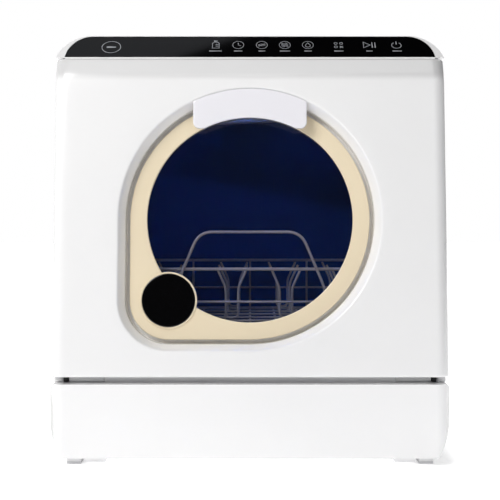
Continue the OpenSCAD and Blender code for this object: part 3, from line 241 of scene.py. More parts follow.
# soft black rubber, dull and faintly greyed, also for the window's seal and the hoses
gasket_rubber = moulded("gasket_rubber", "3A3A3D", 0.6, grain_mm=0.3, relief=0.1)
dress(gasket_rubber, "door_gasket", "window_seal", "drain_hose", "tank_hose")

# ---- Door ----
# The hinge pins pass through the lower corners, and the closed door leans back. The shell is one
# glossy white ABS moulding: soft side edges, a sloping band along the top and a round recess
# whose lower left quarter is squared off.
millimetres = Matrix.Scale(0.001, 4)
crease = math.radians(38)


def object_from(name, shells, place=millimetres):
    """An object made of closed shells of points in millimetres, shaded smooth over soft edges."""
    points, faces = [], []
    for shell_points, shell_faces in shells:
        first = len(points)
        points += [place @ Vector(p) for p in shell_points]
        faces += [[first + i for i in face] for face in shell_faces]
    work = bmesh.new()
    corners = [work.verts.new(p) for p in points]
    for face in faces:
        work.faces.new([corners[i] for i in face])
    bmesh.ops.remove_doubles(work, verts=work.verts, dist=0.000004)
    bmesh.ops.recalc_face_normals(work, faces=work.faces)
    mesh = bpy.data.meshes.new(name)
    work.to_mesh(mesh)
    work.free()
    mesh.shade_smooth()
    mesh.set_sharp_from_angle(angle=crease)
    made = bpy.data.objects.new(name, mesh)
    bpy.context.scene.collection.objects.link(made)
    return made


def fit(made, material, body, slot, *nodes):
    """Gives a piece its material and body, and hides the CAD nodes that it stands for. Its slot is not
    used.
    """
    made.data.materials.append(material)
    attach(made, body)
    if nodes:
        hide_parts(*nodes)


def loft(loops, around=False, start=False, end=False):
    """Skin over closed loops of equal length. around joins the last loop to the first, start and
    end cap the first and last loop."""
    n = len(loops[0])
    rows = len(loops)
    faces = []
    for k in range(rows if around else rows - 1):
        a, b = k * n, (k + 1) % rows * n
        faces += [[a + i, a + (i + 1) % n, b + (i + 1) % n, b + i] for i in range(n)]
    if start:
        faces.append(list(reversed(range(n))))
    if end:
        faces.append(list(range((rows - 1) * n, rows * n)))
    return [p for loop in loops for p in loop], faces


def curve_between(a, corner, b, steps=5):
    """Points of a soft corner from a to b, pulled towards the sharp corner."""
    made = []
    for k in range(steps + 1):
        t = k / steps
        made.append([a[i] * (1 - t) ** 2 + corner[i] * 2 * t * (1 - t) + b[i] * t * t
                     for i in range(len(a))])
    return made


def soft_block(low, high, r, steps):
    """A block between two corners with rounded edges."""
    work = bmesh.new()
    bmesh.ops.create_cube(work, size=1.0)
    for v in work.verts:
        v.co = [low[i] if v.co[i] < 0 else high[i] for i in range(3)]
    bmesh.ops.bevel(work, geom=work.edges[:], offset=r, segments=steps, profile=0.5,
                    affect="EDGES")
    work.verts.index_update()
    made = [list(v.co) for v in work.verts], [[v.index for v in f.verts] for f in work.faces]
    work.free()
    return made


def cut(target, place, *shells):
    """Cuts closed shells out of a piece."""
    for shell in shells:
        tool = object_from("tool", [shell], place)
        modifier = target.modifiers.new("cut", "BOOLEAN")
        modifier.object = tool
        modifier.solver = "EXACT"
        graph = bpy.context.evaluated_depsgraph_get()
        result = bpy.data.meshes.new_from_object(target.evaluated_get(graph))
        target.modifiers.clear()
        target.data = result
        bpy.data.objects.remove(tool)
    target.data.set_sharp_from_angle(angle=crease)


lean = math.radians(5)
hinge = next(j for j in frame["joints"] if j["name"] == "door_hinge")["pos_m"]
in_door = Matrix.Translation(hinge) @ Matrix.Rotation(-lean, 4, "X") @ millimetres
door_half, door_low, door_high = 209.5, -5.3, 334.3
door_front, door_back, door_wall = -9.5, 32.5, 2.5
window_z, squared = 161.5, 86.6
rim_r, well_r, bevel_depth, ledge_y = 139.5, 132.6, 12.5, 16.0
pane_hole_r = 120.4
band_high, band_deep, band_soft = 22.0, 7.6, 1.2
side_round, end_round, corner_r, rim_round, foot_round = 15.0, 2.2, 3.5, 1.8, 1.5


def to_recess(angle, r):
    """Distance from the window's centre to the recess outline of radius r."""
    x, z = math.cos(angle), math.sin(angle)
    if x >= 0 or z >= 0:
        return r
    if abs(z / x) <= squared / r:
        return r / abs(x)
    if abs(x / z) <= squared / r:
        return r / abs(z)
    along = -(x + z) * squared
    return along + math.sqrt(along ** 2 - 2 * squared ** 2 + (r - squared) ** 2)


def to_edge(angle, inset):
    """Distance from the window's centre to the door's outline, inset."""
    x, z = math.cos(angle), math.sin(angle)
    side = door_half - inset
    end = (door_high - window_z if z > 0 else window_z - door_low) - inset
    r = max(corner_r - inset * 0.4, 1.0)
    reach = min(side / max(abs(x), 1e-6), end / max(abs(z), 1e-6))
    centre = (side - r, end - r)
    if abs(x) * reach <= centre[0] or abs(z) * reach <= centre[1]:
        return reach
    along = abs(x) * centre[0] + abs(z) * centre[1]
    return along + math.sqrt(along ** 2 - centre[0] ** 2 - centre[1] ** 2 + r ** 2)


def round_off(inset, r):
    """Depth of a quarter round of radius r at a distance from the edge."""
    return r - math.sqrt(r * r - min(max(r - inset, 0), r) ** 2)


def band(z):
    """Depth of the sloping top band at a height, running softly into the flat front."""
    fall = band_deep * (1 - (door_high - z) / band_high)
    return 0.5 * (fall + math.sqrt(fall ** 2 + band_soft)) - 0.03


# rays from the window's centre on which all the outlines below have their points: even ones,
# with more at the door's four corners and round the recess's squared corner
corner_angles = [math.atan2(sz * (z - kz), sx * (door_half - kx))
                 for sx in (-1, 1) for sz, z in ((1, door_high - window_z), (-1, window_z - door_low))
                 for kx, kz in ((0, 0), (0, 3.5), (3.5, 0), (0.3, 2), (2, 0.3), (0, 8), (0, 15),
                                (8, 0), (12, 0), (16, 0))]
squared_arc_r = 45
squared_angles = [math.atan2(-squared - squared_arc_r * math.cos(math.radians(k * 9)),
                             -squared - squared_arc_r * math.sin(math.radians(k * 9)))
                  for k in range(11)]
even_angles = [math.radians(k * 2.5) - math.pi for k in range(144)]
angles = sorted(set(round(a, 3) for a in even_angles + corner_angles + squared_angles))


def recess_loop(r, y):
    """The recess's outline of radius r at a depth."""
    made = []
    for a in angles:
        reach = to_recess(a, r)
        made.append((reach * math.cos(a), y, window_z + reach * math.sin(a)))
    return made


def circle_loop(r, y):
    """A circle round the window's centre at a depth."""
    return [(r * math.cos(a), y, window_z + r * math.sin(a)) for a in angles]


def edge_loop(inset, wall=0.0, y=None):
    """The door's outline at an inset; its depth follows the rounded edges and the top band."""
    made = []
    for a in angles:
        reach = to_edge(a, inset + wall)
        x, z = reach * math.cos(a), window_z + reach * math.sin(a)
        from_side = door_half - wall - abs(x)
        from_end = min(door_high - wall - z, z - door_low - wall)
        depth = round_off(from_side, side_round) + round_off(from_end, end_round) + band(z) + wall
        made.append((x, door_front + depth if y is None else y, z))
    return made


def between(a, b, share):
    """A loop part of the way from one loop to another, at the first one's depth."""
    return [(p[0] + (q[0] - p[0]) * share, p[1], p[2] + (q[2] - p[2]) * share)
            for p, q in zip(a, b)]


def on_front(loop):
    """A loop moved onto the door's front face."""
    return [(x, door_front + band(z), z) for x, y, z in loop]


inner_edge = edge_loop(side_round)
rim_start = recess_loop(rim_r + rim_round, door_front)
slope = (rim_r - well_r) / bevel_depth
rim_turn = curve_between((rim_r + rim_round, door_front), (rim_r, door_front),
                         (rim_r - rim_round * slope, door_front + rim_round))
foot_turn = curve_between((well_r + foot_round * slope, door_front + bevel_depth - foot_round),
                          (well_r, door_front + bevel_depth),
                          (well_r, door_front + bevel_depth + 2))
shell_loops = [edge_loop(0, y=door_back)]
shell_loops += [edge_loop(s) for s in (0, 0.12, 0.4, 0.9, 1.6, 2.5, 3.6, 5, 6.6, 8.4, 10.5, 12.7)]
shell_loops += [inner_edge] + [on_front(between(inner_edge, rim_start, k / 8)) for k in range(1, 8)]
shell_loops += [recess_loop(r, y) for r, y in rim_turn + foot_turn]
shell_loops += [recess_loop(well_r, ledge_y - 1), recess_loop(well_r - 1, ledge_y),
                circle_loop(pane_hole_r, ledge_y), circle_loop(pane_hole_r, ledge_y + door_wall),
                recess_loop(well_r + door_wall, ledge_y + door_wall),
                recess_loop(well_r + door_wall, door_front + bevel_depth),
                recess_loop(rim_r + door_wall, door_front + door_wall + 1),
                edge_loop(12.7, door_wall), edge_loop(6.6, door_wall), edge_loop(2.5, door_wall),
                edge_loop(0, door_wall), edge_loop(0, door_wall, y=door_back)]
door_shell = object_from("door_moulding", [loft(shell_loops, around=True)], in_door)
# slots for the hinge brackets, the opening of the finger pocket and the hole of the lock's bolt
bracket_x, slot_half, slot_low, slot_high = 195.0, 3.5, -12, 9
bolt_y, bolt_hole_r = 24.0, 5.0
pocket_half, pocket_low, pocket_high, pocket_back, pocket_fit = 45.0, 280.0, 298.5, 24.0, 0.4


def pocket_opening(y):
    """A block that clears the finger pocket from a depth backwards."""
    return soft_block((-pocket_half - pocket_fit, y, pocket_low - pocket_fit),
                      (pocket_half + pocket_fit, pocket_back + pocket_fit, pocket_high + pocket_fit),
                      0.3, 1)


bolt_turn = [math.tau * k / 32 for k in range(32)]
bolt_hole = loft([[(bolt_hole_r * math.cos(t), bolt_y + bolt_hole_r * math.sin(t), z)
                   for t in bolt_turn] for z in (door_high - 6, door_high + 4)], start=True, end=True)
cut(door_shell, in_door,
    *[soft_block((s * bracket_x - slot_half, door_front + 3.5, slot_low),
                 (s * bracket_x + slot_half, door_back + 1, slot_high), 0.5, 1) for s in (-1, 1)],
    pocket_opening(door_front + 2.6), bolt_hole)
# painted shade: the band's skin is painted a slightly greyer white for the shade on its upturned slope,
# fading out where it meets the front
door_abs = moulded("white_abs_painted_band_shade", "F4F4F5", 0.2, grain_mm=0.8, coat=0.25)
skin = door_abs.node_tree
surface = skin.nodes["Principled BSDF"]
height = add(skin, "SeparateXYZ", {"Vector": add(skin, "TexCoord").outputs["Object"]}).outputs["Z"]
# how much painted shade: none below the band's foot, full above it
band_shade = add(skin, "MapRange", {"Value": height, "From Min": 0.4055, "From Max": 0.4155},
             interpolation_type="SMOOTHSTEP").outputs["Result"]
plain = surface.inputs["Base Color"].links[0].from_socket
band_shaded_tone = add(skin, "Mix", {0: band_shade, 6: plain, 7: colour("D6D6D7")}, data_type="RGBA").outputs[2]
skin.links.new(band_shaded_tone, surface.inputs["Base Color"])
fit(door_shell, door_abs, "door", "white_plastic", "door_shell")


# ---- Window trim ----
# A satin cream ABS ring that fills the recess, drop-shaped outside and round inside, with a shallow
# round seat for the badge at its lower left corner. It clips onto the shell and holds the pane.
cream = moulded("cream_abs_satin", "EBDCBF", 0.32)
trim_front, trim_back, trim_r, trim_wall, hole_r = 7.0, 10.0, 128.0, 2.4, 110.0
badge_at = (-squared, window_z - squared)
lip_r, seat_r, lip_front, seat_back = 30.3, 28.5, 5.5, 7.5
turn_steps, flat_ring = 96, 0.7


def turned(profile, at):
    """A solid turned about the depth axis through a point: profile holds radius and depth. A
    second ring inside each end keeps its face flat under smooth shading."""
    first, last = profile[0], profile[-1]
    profile = [(first[0] - flat_ring, first[1])] + profile + [(last[0] - flat_ring, last[1])]
    turn = [math.tau * k / turn_steps for k in range(turn_steps)]
    loops = [[(at[0] + r * math.cos(t), y, at[1] + r * math.sin(t)) for t in turn]
             for r, y in profile]
    return loft(loops, start=True, end=True)


trim_loops = [recess_loop(trim_r, ledge_y - 0.1), recess_loop(trim_r, trim_front + 0.8),
              recess_loop(trim_r - 0.12, trim_front + 0.4), recess_loop(trim_r - 0.4, trim_front + 0.1),
              recess_loop(trim_r - 0.9, trim_front), circle_loop(hole_r + 1.2, trim_front),
              circle_loop(hole_r + 0.5, trim_front + 0.1), circle_loop(hole_r + 0.1, trim_front + 0.5),
              circle_loop(hole_r, trim_front + 1.1), circle_loop(hole_r, trim_back),
              recess_loop(trim_r - trim_wall, trim_back),
              recess_loop(trim_r - trim_wall, ledge_y - 0.1)]
door_trim = object_from("window_trim", [loft(trim_loops, around=True)], in_door)
cut(door_trim, in_door, turned([(seat_r, lip_front - 1), (seat_r, seat_back)], badge_at),
    pocket_opening(trim_front - 5))
fit(door_trim, cream, "door", "cream_plastic", "door_trim")
badge_seat = object_from("badge_seat", [turned([
    (lip_r, trim_back), (lip_r, lip_front + 0.7), (lip_r - 0.15, lip_front + 0.3),
    (lip_r - 0.5, lip_front), (seat_r + 0.5, lip_front), (seat_r + 0.1, lip_front + 0.2),
    (seat_r, lip_front + 0.5), (seat_r, seat_back)], badge_at)], in_door)
fit(badge_seat, cream, "door", "cream_plastic")

# ---- Badge ----
# A bare disc of glossy black ABS, injection-moulded and polished like a piano's lid. It is
# pressed into its seat in the trim.
black = moulded("piano_black_abs", "030304", 0.06, grain_mm=1.5, relief=0.003)
badge = object_from("badge", [turned([(28.3, 7.4), (28.3, 5.85), (28.2, 5.5), (27.9, 5.25),
                                      (27.4, 5.2)], badge_at)], in_door)
fit(badge, black, "door", "black_gloss", "badge_disc")

# ---- Window ----
# A round pane of tempered glass, faintly tinted grey-blue, with a ground edge. It is held between
# the trim and a rubber ring.
pane_glass = bpy.data.materials.new("tinted_tempered_glass")
pane_glass.use_nodes = True
pane_tree = pane_glass.node_tree
pane_surface = pane_tree.nodes["Principled BSDF"]
# tempering leaves a very faint waviness some 40 mm across
pane_wave = add(pane_tree, "TexNoise", {"Vector": add(pane_tree, "TexCoord").outputs["Object"],
                                        "Scale": 1000 / 40, "Detail": 1.0}).outputs["Fac"]
pane_tint = add(pane_tree, "Mix", {0: pane_wave, 6: colour("CBD0DC"), 7: colour("C6CBD8")},
                data_type="RGBA").outputs[2]
pane_tree.links.new(pane_tint, pane_surface.inputs["Base Color"])
pane_surface.inputs["Roughness"].default_value = 0.0
pane_surface.inputs["Transmission Weight"].default_value = 1.0
pane_surface.inputs["IOR"].default_value = 1.5
# lamps shine through the pane, tinted, instead of being stopped by it
pane_film = add(pane_tree, "BsdfTransparent", {"Color": colour("CCD1DC")}).outputs[0]
pane_shadow = add(pane_tree, "LightPath").outputs["Is Shadow Ray"]
pane_mix = add(pane_tree, "MixShader", {0: pane_shadow, 1: pane_surface.outputs[0], 2: pane_film})
pane_tree.links.new(pane_mix.outputs[0], pane_tree.nodes["Material Output"].inputs["Surface"])
pane = object_from("window_pane", [turned([
    (115.3, 10.2), (115.7, 10.35), (115.9, 10.8), (115.9, 13.6), (115.7, 14.05), (115.3, 14.2)],
    (0, window_z))], in_door)
fit(pane, pane_glass, "door", "tinted_glass", "window_glass")

# ---- Door handle ----
# A glossy ABS plate, faintly lavender, that bridges the top of the recess flush with the door. A
# finger pocket moulded on its back is reached from below.
handle_abs = moulded("lavender_abs_glossy", "F0EFF5", 0.22, coat=0.2)
handle_half, handle_low, handle_turn, handle_arch = 60.5, 95.8, 6.5, 107.3


def handle_outline(r, inset):
    """The handle's outline round the window's centre, under a recess arc of radius r."""
    half, low, turn = handle_half - inset, handle_low + inset, handle_turn - inset
    arch = handle_arch + inset
    r = r - inset
    top, foot = math.sqrt(r * r - half * half), math.sqrt(arch * arch - low * low)
    made = []

    def along_arc(x, z, radius, a, b, steps):
        """Adds points from angle a to angle b round a centre."""
        for k in range(steps + 1):
            t = a + (b - a) * k / steps
            made.append((x + radius * math.cos(t), z + radius * math.sin(t)))

    along_arc(-half + turn, low + turn, turn, math.pi * 1.5, math.pi, 6)
    made += [(-half, low + turn + (top - low - turn) * share) for share in (0.5, 0.92)]
    along_arc(0, 0, r, math.atan2(top, -half), math.atan2(top, half), 32)
    made += [(half, low + turn + (top - low - turn) * share) for share in (0.92, 0.5)]
    along_arc(half - turn, low + turn, turn, 0.0, -math.pi / 2, 6)
    along_arc(0, 0, arch, math.atan2(low, foot), math.atan2(low, -foot), 32)
    return made


# depth, radius of the recess's arc there and inset: the front edge is rounded over
handle_loops = [[(x, y, window_z + z) for x, z in handle_outline(r, inset)] for y, r, inset in
                ((-5.5, 136.46, 0), (-8.2, 138.24, 0), (-8.9, 138.7, 0.2), (-9.3, 138.96, 0.6),
                 (-9.5, 139.1, 1.3), (-9.5, 139.1, 2.2))]
pocket_wall, pocket_front = 2.0, -6.0
pocket_walls = [((-pocket_half, pocket_back - pocket_wall, pocket_low),
                 (pocket_half, pocket_back, pocket_high)),
                ((-pocket_half, pocket_front, pocket_high - pocket_wall),
                 (pocket_half, pocket_back, pocket_high)),
                ((-pocket_half, pocket_front, pocket_low),
                 (pocket_wall - pocket_half, pocket_back, pocket_high)),
                ((pocket_half - pocket_wall, pocket_front, pocket_low),
                 (pocket_half, pocket_back, pocket_high))]
handle = object_from("handle_moulding", [loft(handle_loops, start=True, end=True)]
                     + [soft_block(low, high, 0.5, 2) for low, high in pocket_walls], in_door)
fit(handle, handle_abs, "door", "lilac_plastic", "door_handle")

# ---- Basket ----
# Steel wire, bent and welded, then dipped in grey nylon that dries smooth with a soft shine. The
# front wall carries a taller loop to pull the basket by, and pairs of leaning supports stand on
# the floor.
coated = moulded("grey_nylon_coating", "BFB1A5", 0.34, grain_mm=0.6, relief=0.06)
front_y, rear_y, wall_x = -142.0, 104.0, 150.0
floor_z, middle_z, rim_z, grip_z = 140.0, 167.0, 203.0, 244.0
frame_r, thin_r, bend_r, wire_sides = 1.8, 1.4, 6, 12
set_in, cross_lift, post_lift, cross_pitch = 2.6, 2.4, 4.2, 41
cross_y = [front_y + cross_pitch * k for k in range(1, 6)]


def bent(points, r, steps=5):
    """A path with its corners bent round."""
    made = [list(points[0])]
    for before, corner, after in zip(points, points[1:], points[2:]):
        ends = []
        for other in (before, after):
            leg = Vector(other) - Vector(corner)
            ends.append(list(Vector(corner) + leg.normalized() * min(r, leg.length * 0.48)))
        made += curve_between(ends[0], corner, ends[1], steps)
    return made + [list(points[-1])]


def wire(path, r):
    """A round wire along a path, with softened ends."""
    path = [Vector(p) for p in path]
    n = len(path)
    along = [(path[min(k + 1, n - 1)] - path[max(k - 1, 0)]).normalized() for k in range(n)]
    side = along[0].orthogonal().normalized()
    rings = []
    for k, (point, t) in enumerate(zip(path, along)):
        side = (side - t * side.dot(t)).normalized()
        up = t.cross(side)
        ring = [side * math.cos(math.tau * i / wire_sides) + up * math.sin(math.tau * i / wire_sides)
                for i in range(wire_sides)]
        shapes = [(0.0, 1.0)]
        if k == 0:
            shapes = [(-0.5, 0.55), (-0.3, 0.85), (0.0, 1.0)]
        elif k == n - 1:
            shapes = [(0.0, 1.0), (0.3, 0.85), (0.5, 0.55)]
        rings += [[point + t * r * push + d * r * size for d in ring] for push, size in shapes]
    return loft(rings, start=True, end=True)


def grille(y, thin_x):
    """Upright wall of the basket: a bent frame, a middle wire and thin posts."""
    low = floor_z + set_in
    frame_path = [(-wall_x, y, low), (-wall_x, y, rim_z), (wall_x, y, rim_z), (wall_x, y, low)]
    return ([wire(bent(frame_path, bend_r), frame_r),
             wire([(-wall_x, y, middle_z), (wall_x, y, middle_z)], thin_r)]
            + [wire([(x, y, low), (x, y, rim_z)], thin_r) for x in thin_x])


def add_wires(name, wires, node):
    """Puts welded wires in the place of a CAD node of the basket."""
    fit(object_from(name, wires), coated, "basket", "coated_wire", node)


grip_r, grip_y, grip_wide, grip_narrow, grip_foot, grip_knee = 1.6, front_y - 2.5, 84, 56, 142.9, 178
grip = bent([(-grip_wide, grip_y, grip_foot), (-grip_wide, grip_y, grip_knee),
             (-grip_narrow, grip_y, grip_z), (grip_narrow, grip_y, grip_z),
             (grip_wide, grip_y, grip_knee), (grip_wide, grip_y, grip_foot)], 15, 9)
add_wires("basket_front_wires", grille(front_y, (-118, 118)) + [wire(grip, grip_r)], "basket_front")
add_wires("basket_rear_wires", grille(rear_y, (-75, 0, 75)), "basket_rear")
sides = []
for x in (-wall_x, wall_x):
    sides += [wire([(x, front_y + set_in, z), (x, rear_y - set_in, z)], r)
              for z, r in ((rim_z, frame_r), (middle_z, thin_r))]
    sides += [wire([(x, y, floor_z + post_lift), (x, y, rim_z)], thin_r) for y in cross_y]
add_wires("basket_side_wires", sides, "basket_sides")
bottom = [wire([(x, front_y, floor_z), (x, rear_y, floor_z)], frame_r) for x in (-wall_x, wall_x)]
bottom += [wire([(-wall_x, y, floor_z), (wall_x, y, floor_z)], frame_r) for y in (front_y, rear_y)]
bottom += [wire([(x, front_y, floor_z), (x, rear_y, floor_z)], thin_r) for x in range(-120, 121, 30)]
bottom += [wire([(-wall_x, y, floor_z + cross_lift), (wall_x, y, floor_z + cross_lift)], thin_r)
           for y in cross_y]
add_wires("basket_floor_wires", bottom, "basket_floor")
tip_z, knee_z, foot_z, tip_half, foot_half = 201.6, 179.6, 145.6, 17, 7
tines = []
for x in (-100, -20.5, 41, 110):
    for y in cross_y[::2]:
        tine = [(x - tip_half, y, tip_z), (x - foot_half, y, knee_z), (x - foot_half, y, foot_z),
                (x + foot_half, y, foot_z), (x + foot_half, y, knee_z), (x + tip_half, y, tip_z)]
        tines.append(wire(bent(tine, bend_r), thin_r))
add_wires("plate_supports", tines, "basket_tines")

# ---- Lamp ----
# A frosted polycarbonate lens over blue-white diodes, pressed into a hole in the chamber's
# ceiling.
lens = bpy.data.materials.new("frosted_lamp_lens")
lens.use_nodes = True
lens_tree = lens.node_tree
lens_surface = lens_tree.nodes["Principled BSDF"]
# the frosting is finer than this on the real lens: its grains are drawn two thirds of a mm wide
frost_mm = 2 / 3
lens_frost = add(lens_tree, "TexNoise", {"Vector": add(lens_tree, "TexCoord").outputs["Object"],
                                         "Scale": 1000 / frost_mm}).outputs["Fac"]
lens_tone = add(lens_tree, "ValToRGB", {"Fac": lens_frost}, [(0.3, "DCE6FF"), (0.7, "C9D8FF")])
lens_tree.links.new(lens_tone.outputs["Color"], lens_surface.inputs["Base Color"])
lens_surface.inputs["Roughness"].default_value = 0.5
# the diodes sit in the front half, so that the lens is dark behind them
lens_depth = add(lens_tree, "SeparateXYZ", {
    "Vector": add(lens_tree, "TexCoord").outputs["Generated"]}).outputs["Y"]
lens_light = add(lens_tree, "ValToRGB", {"Fac": lens_depth}, [(0.25, "6E9CFF"), (0.5, "0C1018")])
lens_tree.links.new(lens_light.outputs["Color"], lens_surface.inputs["Emission Color"])
lens_surface.inputs["Emission Strength"].default_value = 280.0
dress(lens, "chamber_lamp")

# ---- Control glass ----
# A strip of black glass let into the slanting front of the cover, its ends cut to the cover's
# corners. The pictograms and the plain bars under them are screen-printed on it in dull pale grey.
dress(black, "control_glass")
ease(0.5, "control_glass")
# from the middle of the glass's lower edge: across, up the slope and out of the glass
lip_y, lip_z, slant = -171.4, 432.0, math.radians(45)
on_glass = millimetres @ Matrix.Translation((0, lip_y, lip_z)) @ Matrix.Rotation(slant, 4, "X")
print_ink = moulded("pale_screen_ink", "A4A7AD", 0.5)


def stroke(points, width=0.45, closed=False):
    """A flat printed line through points across and up the glass, with square ends."""
    n = len(points)
    sides = []
    for k, (x, u) in enumerate(points):
        last, after = ((points[(k + d) % n] if closed else points[min(max(k + d, 0), n - 1)])
                       for d in (-1, 1))
        into, out = Vector((x - last[0], u - last[1])), Vector((after[0] - x, after[1] - u))
        into, out = into or out, out or into
        along = (into.normalized() + out.normalized()).normalized()
        reach = width / 2 / max(along.dot(into.normalized()), 0.5)
        sides.append((-along.y * reach, along.x * reach))
    section = ((1, -0.05), (1, 0.06), (-1, 0.06), (-1, -0.05))
    loops = [[(x + s * dx, u + s * dy, h) for s, h in section]
             for (x, u), (dx, dy) in zip(points, sides)]
    return loft(loops, around=closed, start=not closed, end=not closed)


def arc(x, u, r, a=0.0, b=360.0, steps=28, tall=1.0):
    """Points of an arc, in degrees; tall stretches it up the glass."""
    count = steps if b - a >= 360 else steps + 1
    return [(x + r * math.cos(math.radians(a + (b - a) * k / steps)),
             u + r * tall * math.sin(math.radians(a + (b - a) * k / steps))) for k in range(count)]


# a white bead closes the cover's lip along the glass's lower edge
bead_section = ((0.0, 0.72), (-0.25, 0.35), (-0.3, -0.25), (-0.05, -0.85), (0.6, -1.2), (1.6, -1.2),
                (2.2, 0.6))
bead_half = 199.2
bead = object_from("cover_lip_bead", [loft([[(x, lip_y + y, lip_z + z) for y, z in bead_section]
                                            for x in (-bead_half, bead_half)], start=True, end=True)])
fit(bead, white_abs, "casing", "white_plastic")

# how far up the glass the pictograms' middles and the bars under them lie, and where the keys are
icon_u, bar_u = 23.1, 12.2
bottle_x, clock_x, leaf_x, waves_x, drop_x = -37.3, -12.8, 12.9, 38.0, 63.1
mode_x, start_x, power_x = 96.4, 129.7, 159.7
# ring with a dash, at the left end
ring_x, ring_u = -151, 19.3
prints = [stroke(arc(ring_x, ring_u, 10.2), 0.7, True),
          stroke([(ring_x - 5, ring_u), (ring_x + 5, ring_u)], 1.5)]
# bottle with its cap and two marks
prints += [stroke([(bottle_x + d, u) for d, u in ((-3.7, 17.5), (3.7, 17.5), (3.7, 26.0),
                                                  (2.1, 28.0), (-2.1, 28.0), (-3.7, 26.0))],
                  0.6, True),
           stroke([(bottle_x - 1.9, 30.2), (bottle_x + 1.9, 30.2)], 1.1)]
prints += [stroke([(bottle_x - 0.1, u), (bottle_x + 3.3, u)], 0.5) for u in (21, 24)]
# clock, leaf, waves and drop, each in a ring
for x in (clock_x, leaf_x, waves_x, drop_x):
    prints.append(stroke(arc(x, icon_u, 6.0, tall=1.1), 0.5, True))
prints.append(stroke([(clock_x, 27), (clock_x, icon_u), (clock_x + 3, 21.6)], 0.5))
prints += [stroke(arc(leaf_x, 26.2, 4.6, 215, 325, 10)), stroke(arc(leaf_x, 20.2, 4.6, 35, 145, 10)),
           stroke([(leaf_x - 3.7, 20.6), (leaf_x + 3.7, 25.6)])]
ripple = [-3.6 + 0.6 * k for k in range(13)]
prints += [stroke([(waves_x + d, icon_u + h + 1.1 * math.sin(d * 1.6)) for d in ripple], 0.5)
           for h in (-2.4, 0, 2.4)]
prints.append(stroke(arc(drop_x, 22.0, 2.7, -220, 40, 14) + [(drop_x, 27.2)], 0.55, True))
# three rings and a cross of the mode key
mode_left, mode_right, mode_low, mode_high, mark_r = mode_x - 2.8, mode_x + 3.2, 19.6, 26.0, 1.7
for x, u in ((mode_left, mode_high), (mode_right, mode_high), (mode_left, mode_low)):
    prints.append(stroke(arc(x, u, mark_r), 0.6, True))
for s in (1, -1):
    prints.append(stroke([(mode_right - mark_r, mode_low + s * mark_r),
                          (mode_right + mark_r, mode_low - s * mark_r)], 0.6))
# start and pause
prints.append(stroke([(start_x - 5.9, 18.0), (start_x - 5.9, 28.2), (start_x + 1.5, icon_u)],
                     0.6, True))
prints += [stroke([(start_x + d, 18.2), (start_x + d, 28.0)], 0.65) for d in (3.5, 6.7)]
# power
prints += [stroke(arc(power_x, icon_u - 0.6, 5.2, 125, 415, 24), 0.65),
           stroke([(power_x, 24.2), (power_x, 29.8)], 0.65)]
# the bars under the pictograms
for x, half in ((bottle_x, 7), (clock_x, 4.5), (leaf_x, 3.6), (waves_x, 5.5), (drop_x, 4),
                (mode_x, 5), (start_x, 3.4), (power_x, 5)):
    prints.append(stroke([(x - half, bar_u), (x + half, bar_u)], 0.8))
panel_print = object_from("panel_print", prints, on_glass)
fit(panel_print, print_ink, "casing", "pale_plastic")

# ---- Casing panels and screws ----
# The white panels are thin mouldings of the base's ABS and stand in its rim, with the cover on
# top. Countersunk screws of zinc-plated steel hold them and the door's liner.
def metal(name, code, roughness, mark_mm, thin=1):
    """Bare metal with fine marks of a length: even ones for plating, and for a brushed sheet ones
    that are so many times thinner than long."""
    material = bpy.data.materials.new(name)
    material.use_nodes = True
    tree = material.node_tree
    surface = tree.nodes["Principled BSDF"]
    at = add(tree, "Mapping", {"Vector": add(tree, "TexCoord").outputs["Object"],
                               "Scale": (1, thin, thin)}).outputs["Vector"]
    marks = add(tree, "TexNoise", {"Vector": at, "Scale": 1000 / mark_mm, "Detail": 4.0})
    marks = marks.outputs["Fac"]
    tone = colour(code)
    dull = [c * 0.86 for c in tone[:3]] + [1]
    mixed = add(tree, "Mix", {0: marks, 6: dull, 7: tone}, data_type="RGBA").outputs[2]
    tree.links.new(mixed, surface.inputs["Base Color"])
    tree.links.new(add(tree, "MapRange", {"Value": marks, "To Min": roughness * 0.8,
                                          "To Max": roughness * 1.2}).outputs["Result"],
                   surface.inputs["Roughness"])
    bump = add(tree, "Bump", {"Height": marks, "Strength": 0.02, "Distance": 0.0003})
    tree.links.new(bump.outputs["Normal"], surface.inputs["Normal"])
    surface.inputs["Metallic"].default_value = 1.0
    return material


dress(white_abs, "side_panel_left", "side_panel_right", "rear_panel", "top_cover", "vent_grille",
      "hinge_covers", "fill_lid", "fill_funnel")
ease(0.6, "side_panel_left", "side_panel_right", "rear_panel", "vent_grille")
ease(1.2, "hinge_covers")
# the plating's specks are drawn a little over a millimetre wide, coarser than they are
zinc = metal("zinc_plated_steel", "C9CACD", 0.28, 10 / 9)
dress(zinc, "casing_screws", "door_screws", "hinge_pins", "lock_bolt")

# ---- Door back ----
# The liner is satin pale grey polypropylene, screwed to the shell from behind. It holds the
# detergent cup with its sliding lid and, at the top, the strike for the lock.
pale = moulded("pale_grey_polypropylene", "D6D8DB", 0.42, grain_mm=0.7, relief=0.06)
dress(pale, "door_liner", "detergent_cup")
grey = moulded("grey_polypropylene", "8E9297", 0.45, grain_mm=0.7, relief=0.06)
dress(grey, "detergent_lid", "door_strike")
ease(0.6, "door_liner", "detergent_cup", "detergent_lid")

# ---- Spray arms, pumps and lock ----
# Satin polypropylene mouldings. The arms, the feed pipe, the impellers and the lock's case are
# pale, and the sump, the pumps' housings and the basket's glides a darker grey.
dress(pale, "lower_spray_arm", "upper_spray_arm", "upper_feed_pipe", "wash_pump_impeller",
      "drain_pump_impeller", "fan_impeller", "door_lock")
dress(grey, "sump", "wash_pump_housing", "drain_pump_body", "basket_glides")
ease(0.6, "upper_spray_arm", "lower_spray_arm", "basket_glides", "sump")

